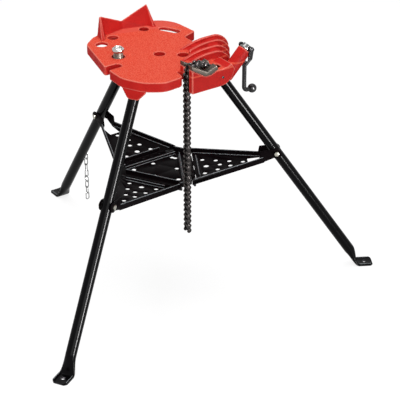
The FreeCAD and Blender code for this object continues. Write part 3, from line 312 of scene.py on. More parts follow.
# Brushed black paint on malleable iron, for the crank: a soft sheen over a pebbled skin.
BLACK_CASTING = Finish(
    "black_paint_on_malleable_iron", "#0D0C0E", "#131214", "#1C1A1D", roughness=0.26,
    spread=0.05, cloud_mm=25.0, grain_mm=1.6, grain_share=0.6, bump_mm=0.12, specular=0.3)
# Hardened steel jaws with oil and brown handling stains: dull brown grey, paler at the edges.
# The grooves of the teeth are drawn coarser than the real ones, so that they show. Their dark
# bottoms are colour alone: painted shade.
JAW_STEEL = Finish(
    "hardened_jaw_steel", "#554C43", "#352E29", "#7A6F65", metallic=0.35, roughness=0.42,
    spread=0.08, cloud_mm=14.0, grain_mm=1.4, grain_share=0.5, bump_mm=0.06,
    edge_colour="#C9BFB2", edge_share=0.35, edge_from=0.55, edge_to=0.65, specular=0.2,
    groove_mm=4.0)
# Oiled roller chain: near black with worn brown steel showing through.
CHAIN_STEEL = Finish(
    "oiled_chain_steel", "#171415", "#0B0A0A", "#3E3736", metallic=0.6, roughness=0.30,
    spread=0.08, cloud_mm=8.0, grain_mm=1.5, grain_share=0.6, bump_mm=0.04,
    edge_colour="#A9A19C", edge_share=0.5, edge_from=0.53, specular=0.3)
# Black oxide on the turned steel of small pins and the screw: near black with a grey sheen.
BLACK_OXIDE = Finish(
    "black_oxide_steel", "#1A181B", "#121113", "#2B292D", metallic=0.6, roughness=0.33,
    spread=0.06, cloud_mm=16.0, grain_mm=1.2, grain_share=0.4, bump_mm=0.03)
# Bright zinc plate: pale, slightly yellow, clouded.
ZINC = Finish(
    "bright_zinc_plate", "#A9A79D", "#7F7D73", "#C6C4BA", metallic=0.95, roughness=0.28,
    spread=0.08, cloud_mm=12.0, grain_mm=1.0, grain_share=0.4, bump_mm=0.02)
# Bare turned steel of the brace's thread, browned in patches.
TURNED_STEEL = Finish(
    "turned_thread_steel", "#8E8379", "#5A5048", "#A89D92", metallic=0.8, roughness=0.34,
    spread=0.08, cloud_mm=7.0, grain_mm=1.0, grain_share=0.4, bump_mm=0.02)
# Polished plate on the turned nut and the tie chain, clouded to stand out from white: its dark
# clouds are a painted reflection, and its near-white edges a painted highlight.
GREY_PLATE = Finish(
    "grey_polished_plate", "#9B9C9B", "#4B4C4D", "#AEAFAE", metallic=0.95, roughness=0.16,
    spread=0.04, cloud_mm=9.0, grain_mm=1.2, grain_share=0.2, bump_mm=0.01,
    edge_colour="#F4F4F2", edge_share=0.7)
# Chrome plate on the turned cup: bright, so that it mirrors the white around it.
CHROME = Finish(
    "chrome_plate", "#C2C1BE", "#A09F9C", "#D4D3D0", metallic=1.0, roughness=0.12,
    spread=0.03, cloud_mm=20.0, grain_mm=1.5, grain_share=0.2, bump_mm=0.01)


@dataclass(frozen=True)
class CastEnamel:
    """Sprayed red enamel over sand-cast iron.

    The enamel is a dull skin that keeps the pebbles of the sand and lies smooth where the casting
    was dressed. It is painted pale over rounded edges and paler on the crests of the pebbles, both a
    painted highlight, and the plate's top is lighter than the sides, partly the pebbled paint of the
    top and partly painted light from above. The pebbles are drawn coarser than the sand's own grain,
    so that they show. The field lies on the plate's top, in front of a band whose edge is the line
    Y + band_lean * X = band_y.
    """

    name: str = "red_enamel_on_cast_iron"
    colour: str = "#D12B26"
    deep_colour: str = "#C22421"
    # The field and band colours make the plate's top lighter than the sides: partly the pebbled
    # paint of the top, partly painted light from above.
    field_colour: str = "#DF4835"
    # Paler on the pebbles' crests: painted highlight.
    crest_highlight_colour: str = "#EF6A52"
    band_colour: str = "#DF584A"
    # Pale over rounded edges: painted highlight.
    edge_colour: str = "#F58D7E"
    pebble_mm: float = 3.4
    grit_mm: float = 1.3
    cloud_mm: float = 55.0
    plate_top: float = 0.730
    band_y: float = 0.196
    pebble_bump_mm: float = 0.45
    grit_bump_mm: float = 0.12
    edge_from: float = 0.512
    edge_to: float = 0.552
    edge_share: float = 0.85
    band_lean: float = 0.28
    band_edge: tuple[float, float] = (-0.003, 0.002)
    top_low: tuple[float, float] = (-0.0035, -0.0012)
    top_high: tuple[float, float] = (0.001, 0.003)
    cloud_band: tuple[float, float] = (0.35, 0.65)
    pebble_band: tuple[float, float] = (0.22, 0.62)
    crest_highlight_band: tuple[float, float] = (0.15, 0.9)
    smooth_relief: float = 0.25
    roughness: tuple[float, float] = (0.44, 0.56)
    specular: float = 0.02
    cloud_detail: float = 3.0
    grit_detail: float = 1.5
    pebble_softness: float = 0.6

    def build(self) -> Material:
        """Make the material.

        Returns:
            The material.
        """
        material, tree, shader, place = new_material(self.name)
        cloud, grit = (
            add_node(tree, "ShaderNodeTexNoise", {
                "Vector": place, "Scale": 1 / (size_mm * MM), "Detail": detail}).outputs["Fac"]
            for size_mm, detail in ((self.cloud_mm, self.cloud_detail),
                                    (self.grit_mm, self.grit_detail)))
        pebble = add_node(tree, "ShaderNodeTexVoronoi", {
            "feature": "SMOOTH_F1", "Vector": place, "Scale": 1 / (self.pebble_mm * MM),
            "Smoothness": self.pebble_softness, "Randomness": 1.0}).outputs["Distance"]
        speck = add_node(tree, "ShaderNodeMapRange", {
            "Value": pebble, "From Min": self.pebble_band[0], "From Max": self.pebble_band[1],
            "To Min": 1.0, "To Max": 0.0}).outputs["Result"]
        # The pebbles' crests are painted paler than the field: painted highlight.
        field_with_crest_highlights = layered(tree, linear(self.field_colour),
                          [Layer(speck, linear(self.crest_highlight_colour), self.crest_highlight_band)])
        level, pebbled = self._field(tree, place)
        # Pointiness paints the rounded edges pale: painted highlight.
        edge = add_node(tree, "ShaderNodeNewGeometry").outputs["Pointiness"]
        # The sides keep the base colour; the top is lighter, partly painted light from above.
        colour = layered(tree, linear(self.colour), [
            Layer(cloud, linear(self.deep_colour), self.cloud_band),
            Layer(level, linear(self.band_colour)),
            Layer(pebbled, field_with_crest_highlights),
            Layer(edge, linear(self.edge_colour), (self.edge_from, self.edge_to),
                  self.edge_share)])
        tree.links.new(colour, shader.inputs["Base Color"])
        rough = add_node(tree, "ShaderNodeMapRange", {
            "Value": grit, "From Min": ROUGH_BAND[0], "From Max": ROUGH_BAND[1],
            "To Min": self.roughness[0], "To Max": self.roughness[1]})
        tree.links.new(rough.outputs["Result"], shader.inputs["Roughness"])
        relief = add_node(tree, "ShaderNodeMapRange", {
            "Value": pebbled, "To Min": self.smooth_relief, "To Max": 1.0})
        depth = add_node(tree, "ShaderNodeMath", {
            "operation": "MULTIPLY", 0: speck, 1: relief.outputs["Result"]})
        coarse = add_node(tree, "ShaderNodeBump", {
            "Strength": 1.0, "Distance": self.pebble_bump_mm * MM, "Height": depth.outputs[0]})
        fine = add_node(tree, "ShaderNodeBump", {
            "Strength": 1.0, "Distance": self.grit_bump_mm * MM, "Height": grit,
            "Normal": coarse.outputs["Normal"]})
        tree.links.new(fine.outputs["Normal"], shader.inputs["Normal"])
        shader.inputs["Specular IOR Level"].default_value = self.specular
        return material

    def _field(self, tree: Tree, place: Socket) -> tuple[Socket, Socket]:
        """Shares of the plate's top and of its pebbled field, in front of the dressed band.

        Each is a product of soft steps: up at the low side of the top, down at its high side, and
        for the field down at the band's edge.

        Args:
            tree: Node tree of the material.
            place: Socket with the object coordinates.

        Returns:
            Sockets with one on the top or inside the field and zero outside it.
        """
        x, y, z = add_node(tree, "ShaderNodeSeparateXYZ", {"Vector": place}).outputs
        lean = add_node(tree, "ShaderNodeMath", {"operation": "MULTIPLY", 0: x, 1: self.band_lean})
        reach = add_node(tree, "ShaderNodeMath", {"operation": "ADD", 0: y, 1: lean.outputs[0]})
        steps = ((z, self.plate_top, self.top_low, (0.0, 1.0)),
                 (z, self.plate_top, self.top_high, (1.0, 0.0)),
                 (reach.outputs[0], self.band_y, self.band_edge, (1.0, 0.0)))
        above, below, front = (
            add_node(tree, "ShaderNodeMapRange", {
                "Value": value, "From Min": line + low, "From Max": line + high,
                "To Min": before, "To Max": after}).outputs["Result"]
            for value, line, (low, high), (before, after) in steps)
        level = add_node(tree, "ShaderNodeMath", {
            "operation": "MULTIPLY", 0: above, 1: below}).outputs[0]
        pebbled = add_node(tree, "ShaderNodeMath", {
            "operation": "MULTIPLY", 0: level, 1: front}).outputs[0]
        return level, pebbled


RED_ENAMEL = CastEnamel()


class FinishBook:
    """Builds each finish once and hands it out."""

    def __init__(self) -> None:
        """Start with no material built."""
        self._built: dict[str, Material] = {}

    def get(self, finish: Finish | CastEnamel) -> Material:
        """Hand out the material of a finish, built on first use.

        Args:
            finish: The finish.

        Returns:
            Its material.
        """
        if finish.name not in self._built:
            self._built[finish.name] = finish.build()
        return self._built[finish.name]


BOOK = FinishBook()


# ---------------------------------------------------------------- mesh helpers

def linked(name: str, data: bpy.types.ID) -> Object:
    """Add an object to the scene.

    Args:
        name: Name of the object.
        data: Its mesh, lamp or camera.

    Returns:
        The new object.
    """
    obj = bpy.data.objects.new(name, data)
    bpy.context.scene.collection.objects.link(obj)
    return obj


def tube_faces(rings: int, around: int, first: int = 0) -> list[list[int]]:
    """Faces of a closed solid of rings: quads between the rings and a flat cap at each end.

    Args:
        rings: Number of rings.
        around: Points in a ring.
        first: Index of the first point of the first ring.

    Returns:
        Corner indices of each face.
    """
    i, j = np.meshgrid(np.arange(rings - 1), np.arange(around), indexing="ij")
    k = (j + 1) % around
    quads = np.stack([i * around + j, i * around + k, (i + 1) * around + k,
                      (i + 1) * around + j], axis=-1).reshape(-1, 4) + first
    last = first + (rings - 1) * around
    return quads.tolist() + [list(range(start, start + around)) for start in (first, last)]


def new_object(name: str, points: np.ndarray, faces: list, smooth: bool = True) -> Object:
    """Object from points and faces, linked to the scene, with its normals pointing outward.

    Args:
        name: Name of the piece.
        points: Array of points, one row each.
        faces: Lists of corner indices.
        smooth: Whether its faces are shaded smooth.

    Returns:
        The new object.
    """
    mesh = bpy.data.meshes.new(name)
    mesh.from_pydata(points.tolist(), [], faces)
    shell = bmesh.new()
    shell.from_mesh(mesh)
    bmesh.ops.recalc_face_normals(shell, faces=shell.faces)
    shell.to_mesh(mesh)
    shell.free()
    mesh.polygons.foreach_set("use_smooth", [smooth] * len(mesh.polygons))
    return linked(name, mesh)


def swept_solid(name: str, rings: np.ndarray) -> Object:
    """Closed solid from rings of points, with a flat cap at each end.

    Args:
        name: Name of the piece.
        rings: Array of shape (rings, points, 3).

    Returns:
        The new object.
    """
    count, around, _ = rings.shape
    return new_object(name, rings.reshape(-1, 3), tube_faces(count, around))


def lathe(name: str, profile: np.ndarray, centre: Vector, axis: Vector, steps: int = 64) -> Object:
    """Turn a profile round an axis; ring k lies at height profile[k, 1] with radius profile[k, 0].

    Args:
        name: Name of the piece.
        profile: Radii and heights from one end to the other.
        centre: Point at height zero.
        axis: Direction of the axis.
        steps: Points round the axis.

    Returns:
        The new object.
    """
    turn = np.linspace(0, 2 * math.pi, steps, endpoint=False)
    radius = profile[:, 0][:, None]
    height = np.repeat(profile[:, 1][:, None], steps, axis=1)
    points = np.stack([radius * np.cos(turn), radius * np.sin(turn), height], axis=-1)
    frame_of_axis = np.array(axis.to_track_quat("Z", "Y").to_matrix())
    return swept_solid(name, points @ frame_of_axis.T + np.array(centre))


def settle(obj: Object) -> None:
    """Replace an object's mesh by the result of its modifiers.

    Args:
        obj: The object.
    """
    graph = bpy.context.evaluated_depsgraph_get()
    graph.update()
    mesh = bpy.data.meshes.new_from_object(obj.evaluated_get(graph))
    obj.modifiers.clear()
    obj.data = mesh


def merged_copy(name: str, nodes: list[str]) -> Object:
    """Copy of some CAD nodes in one mesh with their doubles merged.

    Args:
        name: Name of the new object.
        nodes: CAD nodes to copy.

    Returns:
        The new object.
    """
    shell = bmesh.new()
    for node in nodes:
        shell.from_mesh(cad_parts[node].data)
    bmesh.ops.remove_doubles(shell, verts=shell.verts, dist=WELD_DISTANCE)
    mesh = bpy.data.meshes.new(name)
    shell.to_mesh(mesh)
    shell.free()
    return linked(name, mesh)


def cast_skin(name: str, nodes: list[str], voxel: float, passes: int,
              strength: float = 0.5) -> Object:
    """Rounded casting over CAD nodes: a voxel skin whose corners are then relaxed.

    Args:
        name: Name of the piece.
        nodes: CAD nodes that the casting stands for.
        voxel: Edge of a voxel.
        passes: Rounds of relaxing.
        strength: How far each round moves a point towards its neighbours.

    Returns:
        The new object, with its modifiers applied.
    """
    obj = merged_copy(name, nodes)
    remesh = obj.modifiers.new("skin", "REMESH")
    remesh.mode = "VOXEL"
    remesh.voxel_size = voxel
    remesh.use_smooth_shade = True
    relax = obj.modifiers.new("relax", "SMOOTH")
    relax.factor = strength
    relax.iterations = passes
    settle(obj)
    return obj


def mark_corners(obj: Object, limit_deg: float) -> None:
    """Shade an object smooth, with its edges above an angle kept sharp.

    Args:
        obj: The object.
        limit_deg: Angle between two faces from which their edge is sharp.
    """
    mesh = obj.data
    shell = bmesh.new()
    shell.from_mesh(mesh)
    limit = math.radians(limit_deg)
    for edge in shell.edges:
        edge.smooth = len(edge.link_faces) == 2 and edge.calc_face_angle(0.0) < limit
    shell.to_mesh(mesh)
    shell.free()
    mesh.polygons.foreach_set("use_smooth", [True] * len(mesh.polygons))


def dress(obj: Object, finish: Finish | CastEnamel, body: str, slot: str,
          *nodes: str) -> None:
    """Give a new piece its finish and body, and hide the nodes it stands for.

    Args:
        obj: The piece.
        finish: Its finish.
        body: CAD body that it rides on.
        slot: The record's material slot; not used.
        nodes: CAD nodes that it replaces.
    """
    obj.data.materials.clear()
    obj.data.materials.append(BOOK.get(finish))
    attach(obj, body)
    if nodes:
        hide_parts(*nodes)
    LOG.info("%-28s %7d faces on %s", obj.name, len(obj.data.polygons), body)


# ---------------------------------------------------------------- legs

@dataclass
class Leg:
    """Black tube leg: a round tube flattened at its foot, with a hole for a floor bolt."""

    azimuth: Azimuth
    pivot_radius: float = 0.1436
    pivot_height: float = 0.698
    splay_deg: float = 34.16
    tube_radius: float = 0.015875
    top: float = 0.009
    flare_length: float = 0.062
    foot_thick: float = 0.005
    foot_half: float = 0.0235
    heel_inset: float = 0.014
    foot_length: float = 0.052
    corner: float = 0.007
    ridge: float = 0.0032
    hole_inset: float = 0.024
    hole_radius: float = 0.0055
    pivot_hole: float = 0.00505
    hole_reach: float = 0.02
    pivot_reach: float = 0.05
    around: int = 48
    heel_run: float = 0.010
    bend_pull: float = 0.42
    floor_pull: float = 0.55
    foot_power: float = 5.0
    ridge_from: float = 0.62
    ridge_rise: float = 0.22
    bend_rings: int = 26
    foot_rings: int = 22
    corner_deg: float = 35.0

    @property
    def name(self) -> str:
        """Name of the leg's CAD node."""
        return "leg_" + self.azimuth.name.lower()

    @property
    def heel(self) -> float:
        """Distance from the stand's middle to the heel of the foot."""
        splay = math.radians(self.splay_deg)
        return self.pivot_radius + self.pivot_height * math.tan(splay) - self.heel_inset

    def rings(self) -> np.ndarray:
        """Rings of the leg in its radial frame.

        The middle line runs straight down the lean, then bends on a cubic curve into the floor.
        Each ring is a superellipse across it, whose power rises from 2 by foot_power. The half
        width passes from the tube's radius to the foot's with the smoothstep of the flare, the
        half thickness with its power 0.7. No ring dips under the floor. The toe's corners are cut
        off at 45 degrees: the half width falls as fast as the toe comes near. On the foot the
        pressed tube leaves a ridge along each side: the upper face rises smoothly by the ridge,
        from ridge_from of the half width over ridge_rise of it. The ridge comes in with the
        fourth power of the flare and ends round at the toe.

        Returns:
            Array of shape (rings, points, 3).
        """
        splay = math.radians(self.splay_deg)
        lean = np.array([math.sin(splay), -math.cos(splay)])
        pivot = np.array([self.pivot_radius, self.pivot_height])
        half_thick = self.foot_thick / 2
        length = (self.pivot_height - half_thick) / math.cos(splay)
        bend_start = pivot + lean * (length - self.flare_length)
        bend_end = np.array([self.heel + self.heel_run, half_thick])
        toe = np.array([self.heel + self.foot_length, half_thick])
        straight = np.linspace(pivot - lean * self.top, bend_start, self.bend_rings)
        t = np.linspace(0, 1, self.bend_rings)[1:, None]
        pull = self.bend_pull * self.flare_length
        handle_a = bend_start + lean * pull
        handle_b = bend_end - np.array([pull * self.floor_pull, 0.0])
        bend = ((1 - t) ** 3 * bend_start + 3 * (1 - t) ** 2 * t * handle_a
                + 3 * (1 - t) * t ** 2 * handle_b + t ** 3 * bend_end)
        flat = bend_end + (toe - bend_end) * np.linspace(0, 1, self.foot_rings)[1:, None]
        line = np.concatenate([straight, bend, flat])
        flare = np.concatenate([np.zeros(len(straight)), t[:, 0], np.ones(len(flat))])
        ease = flare * flare * (3 - 2 * flare)
        half_width = self.tube_radius + (self.foot_half - self.tube_radius) * ease
        thickness = self.tube_radius + (half_thick - self.tube_radius) * np.sqrt(ease) * ease ** 0.2
        to_toe = np.clip(1 - (toe[0] - line[:, 0]) / self.corner, 0, 1)
        half_width = half_width - self.corner * to_toe * (flare == 1)
        power = 2 + self.foot_power * flare ** 3
        slope = np.gradient(line, axis=0)
        slope /= np.linalg.norm(slope, axis=1)[:, None]
        across = np.stack([-slope[:, 1], slope[:, 0]], axis=1)
        lift = np.maximum(0.0, thickness * np.abs(across[:, 1]) - line[:, 1])
        line = line + np.stack([np.zeros(len(lift)), lift], axis=1)
        angle = np.linspace(0, 2 * math.pi, self.around, endpoint=False)
        shape = (2 / power)[:, None]
        side = np.sign(np.cos(angle)) * np.abs(np.cos(angle)) ** shape * half_width[:, None]
        up = np.sign(np.sin(angle)) * np.abs(np.sin(angle)) ** shape * thickness[:, None]
        x = line[:, 0, None] + up * across[:, 0, None]
        z = line[:, 1, None] + up * across[:, 1, None]
        outward = np.abs(side) / half_width[:, None]
        outward = np.clip((outward - self.ridge_from) / self.ridge_rise, 0, 1)
        crown = outward * outward * (3 - 2 * outward) * (up > 0)
        z = z + self.ridge * crown * (flare ** 4 * np.sqrt(1 - to_toe ** 2))[:, None]
        return np.stack([x, side, z], axis=-1)

    def build(self) -> None:
        """Make the leg, cut its holes and turn it to its azimuth."""
        leg = swept_solid(self.name + "_tube", self.rings())
        hole = Vector((self.heel + self.foot_length - self.hole_inset, 0, 0))
        pivot = Vector((self.pivot_radius, 0, self.pivot_height))
        cutters = [
            drill("foot_drill", hole, Vector((0, 0, 1)), self.hole_radius, self.hole_reach),
            drill("pivot_drill", pivot, Vector((0, 1, 0)), self.pivot_hole, self.pivot_reach)]
        for cutter in cutters:
            cut = leg.modifiers.new("cut", "BOOLEAN")
            cut.operation = "DIFFERENCE"
            cut.solver = "EXACT"
            cut.object = cutter
        settle(leg)
        for cutter in cutters:
            bpy.data.objects.remove(cutter)
        leg.data.transform(Matrix.Rotation(math.radians(self.azimuth.value), 4, "Z"))
        mark_corners(leg, self.corner_deg)
        dress(leg, BLACK_ENAMEL, self.name, "black_paint", self.name)


def drill(name: str, centre: Vector, axis: Vector, radius: float, reach: float) -> Object:
    """Round cutter for one hole.

    Args:
        name: Name of the cutter.
        centre: Middle of the hole.
        axis: Direction of the hole.
        radius: Radius of the hole.
        reach: How far the cutter goes past the middle on both sides.

    Returns:
        The cutter.
    """
    return lathe(name, np.array([[radius, -reach], [radius, reach]]), centre, axis, 32)


# ---------------------------------------------------------------- casting and crank

@dataclass
class Casting:
    """Red cast top: plate, vise, bending shoe and pipe rest in one rounded skin."""

    voxel: float = 0.00228
    passes: int = 4

    def build(self) -> None:
        """Make the casting."""
        nodes = ["base_plate", "vise_body", "bending_shoe", "pipe_rest"]
        skin = cast_skin("cast_top", nodes, self.voxel, self.passes)
        dress(skin, RED_ENAMEL, "base", "red_enamel", *nodes)


@dataclass
class Crank:
    """Cast crank and its ball, rounded like malleable iron."""

    voxel: float = 0.0009
    passes: int = 6
    pole_turn: float = 0.04
    ball_rings: int = 32

    def build(self) -> None:
        """Make the crank and its knob."""
        arm = cast_skin("crank_arm", ["crank"], self.voxel, self.passes)
        dress(arm, BLACK_CASTING, "crank", "black_cast", "crank")
        low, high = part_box("crank_knob")
        centre, radius = (low + high) / 2, (high.x - low.x) / 2
        turn = np.linspace(self.pole_turn, math.pi - self.pole_turn, self.ball_rings)
        profile = np.stack([radius * np.sin(turn), -radius * np.cos(turn)], axis=1)
        ball = lathe("crank_ball", profile, centre, Vector((1, 0, 0)))
        dress(ball, BLACK_CASTING, "crank", "black_cast", "crank_knob")


# ---------------------------------------------------------------- ceiling brace

@dataclass
class CeilingBrace:
    """Threaded screw that stands in the plate, with a dished cup on top."""

    x: float = -0.105
    y: float = 0.058
    pitch: float = 0.0032
    depth: float = 0.0011
    flank: float = 1.35
    crest: float = 0.15
    rings_per_pitch: int = 10
    around: int = 72
    cup_around: int = 96
    cup_corner_deg: float = 32.0

    def build(self) -> None:
        """Make the thread and the cup."""
        self.thread()
        self.cup()

    def thread(self) -> None:
        """Make the threaded screw.

        The radius falls by the depth along a triangle wave of height less turn. The wave is
        steepened by flank and lowered by crest, so that crests and roots are flat.
        """
        low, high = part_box("brace_screw")
        radius = (high.x - low.x) / 2
        heights = np.arange(low.z, high.z, self.pitch / self.rings_per_pitch)
        heights[-1] = high.z
        turn = np.linspace(0, 2 * math.pi, self.around, endpoint=False)
        phase = (heights[:, None] / self.pitch - turn[None, :] / (2 * math.pi)) % 1.0
        r = radius - self.depth * np.clip(self.flank * np.abs(2 * phase - 1) - self.crest, 0, 1)
        rings = np.stack([self.x + r * np.cos(turn), self.y + r * np.sin(turn),
                          np.repeat(heights[:, None], self.around, axis=1)], axis=-1)
        dress(swept_solid("brace_thread", rings), TURNED_STEEL, "brace", "zinc", "brace_screw")

    def cup(self) -> None:
        """Make the cup: a turned profile up its side, over its rim and down into the dish."""
        low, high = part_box("brace_cup")
        outer, tall = (high.x - low.x) / 2, high.z - low.z
        profile = np.array([
            [0.012, 0.0], [outer - 0.0015, 0.0], [outer - 0.0004, 0.0005], [outer, 0.0018],
            [outer, 0.0085], [outer - 0.0006, 0.0095], [outer - 0.0045, tall - 0.0006],
            [outer - 0.0055, tall], [outer - 0.0065, tall - 0.0004], [outer - 0.0072, tall - 0.0015],
            [outer - 0.0080, tall - 0.0050], [outer - 0.0095, tall - 0.0056],
            [0.0052, tall - 0.0056], [0.0046, tall - 0.0052], [0.0042, tall - 0.0035],
            [0.0034, tall - 0.0028], [0.0006, tall - 0.0026]])
        cup = lathe("brace_cup_turned", profile, Vector((self.x, self.y, low.z)), Vector((0, 0, 1)),
                    self.cup_around)
        mark_corners(cup, self.cup_corner_deg)
        dress(cup, CHROME, "brace", "chrome", "brace_cup")


# ---------------------------------------------------------------- chain rivets

@dataclass
class ChainRivets:
    """Peened ends of the chain pins, standing a little proud of the outer plates."""

    line: float = -0.1606
    half_width: float = 0.01035
    pin_radius: float = 0.003
    proud: float = 0.0003
    pitch: float = 0.015875
    hang_x: float = -0.018
    hang_z: float = 0.725
    hang_links: int = 31
    angles: tuple[float, ...] = (72, 44, 11, -12, -24, -30, -35, -41, -41, -27, 0, 45)
    ring_radii: tuple[float, ...] = (1.0, 1.0, 0.8, 0.3)
    ring_heights: tuple[float, ...] = (-0.4, 0.0, 0.7, 1.0)
    around: int = 14

    def saddle_joints(self) -> np.ndarray:
        """Joints over the V, from the hanging joint to the chain screw.

        Each joint lies one pitch from the one before, at the next of the angles.

        Returns:
            Places of the joints in X and Z.
        """
        turn = np.radians(np.array(self.angles))
        steps = np.stack([np.cos(turn), np.sin(turn)], axis=1) * self.pitch
        start = np.array([self.hang_x, self.hang_z])
        return np.concatenate([start[None, :], start + np.cumsum(steps, axis=0)])

    def hanging_joints(self) -> np.ndarray:
        """Joints of the free chain from the top down, one pitch apart.

        Returns:
            Places of the joints in X and Z.
        """
        drop = np.arange(self.hang_links + 1) * self.pitch
        return np.stack([np.full(len(drop), self.hang_x), self.hang_z - drop], axis=1)

    def domes(self, name: str, joints: np.ndarray) -> Object:
        """One low dome on each side of each joint.

        A dome is a few rings, from just inside the plate to the top, closed by a flat face. Their
        radii are shares of the pin's radius and their heights are shares of the dome's.

        Args:
            name: Name of the piece.
            joints: Places of the pins in X and Z.

        Returns:
            The new object.
        """
        turn = np.linspace(0, 2 * math.pi, self.around, endpoint=False)
        radii = np.array(self.ring_radii) * self.pin_radius
        heights = np.array(self.ring_heights) * self.proud
        circle = np.stack([np.cos(turn), np.sin(turn)], axis=1)
        points, faces = [], []
        for side in (-1, 1):
            plate = self.line + side * self.half_width
            for x, z in joints:
                first = len(points) * len(radii) * self.around
                points.append(pin_rings(circle, radii, (x, z), plate, side * heights))
                faces += tube_faces(len(radii), self.around, first)
        return new_object(name, np.concatenate(points), faces)

    def build(self) -> None:
        """Make the rivets of the saddle chain and of the hanging chain."""
        dress(self.domes("saddle_rivets", self.saddle_joints()[1:]), CHAIN_STEEL, "base",
              "oiled_chain")
        dress(self.domes("hanging_rivets", self.hanging_joints()), CHAIN_STEEL, "hanging_chain",
              "oiled_chain")


def pin_rings(circle: np.ndarray, radii: np.ndarray, place: tuple[float, float], y: float,
              heights: np.ndarray) -> np.ndarray:
    """Rings round a pin that lies along Y.

    Args:
        circle: Unit circle in X and Z.
        radii: Radius of each ring.
        place: Middle of the pin in X and Z.
        y: Where the plate's face is.
        heights: Signed height of each ring over that face.

    Returns:
        Points of all rings, one row each.
    """
    x = place[0] + radii[:, None] * circle[None, :, 0]
    z = place[1] + radii[:, None] * circle[None, :, 1]
    return np.stack([x, np.repeat((y + heights)[:, None], len(circle), axis=1), z],
                    axis=-1).reshape(-1, 3)


# ---------------------------------------------------------------- painted highlights on the tray's hems and the feet's ridges

def rods(name: str, lines: list[tuple[Vector, Vector]], radius: float, body: str,
         around: int = 10, corner_deg: float = 60.0) -> None:
    """Make one piece from many straight rods and dress it in the pale finish of a painted highlight.

    Args:
        name: Name of the piece.
        lines: Ends of each rod.
        radius: Radius of the rods.
        body: Body that the piece rides on.
        around: Points round a rod.
        corner_deg: Angle from which an edge is sharp, so that only the ends are.
    """
    turn = np.linspace(0, 2 * math.pi, around, endpoint=False)
    circle = np.stack([np.cos(turn), np.sin(turn), np.zeros(around)], axis=1) * radius
    points, faces = [], []
    for k, (start, stop) in enumerate(lines):
        ring = circle @ np.array((stop - start).to_track_quat("Z", "Y").to_matrix()).T
        points += [ring + np.array(start), ring + np.array(stop)]
        faces += tube_faces(2, around, 2 * k * around)
    obj = new_object(name, np.concatenate(points), faces)
    mark_corners(obj, corner_deg)
    dress(obj, PAINTED_FOLD_HIGHLIGHT, body, "black_paint")


@dataclass
class FootRidgeHighlights:
    """Pale rods on the crests of the pressed ridges on both sides of each foot, a painted highlight,
    in the leg's radial frame.
    """

    near: float = 0.614
    far: float = 0.6485
    half: float = 0.0206
    height: float = 0.0077
    radius: float = 0.0009

    def build(self) -> None:
        """Make the painted highlight rods on the crests of the three feet."""
        for azimuth in Azimuth:
            turn = Matrix.Rotation(math.radians(azimuth.value), 4, "Z")
            lines = [(turn @ Vector((self.near, side * self.half, self.height)),
                      turn @ Vector((self.far, side * self.half, self.height))) for side in (-1, 1)]
            name = azimuth.name.lower()
            rods("foot_ridge_highlights_" + name, lines, self.radius, "leg_" + name)


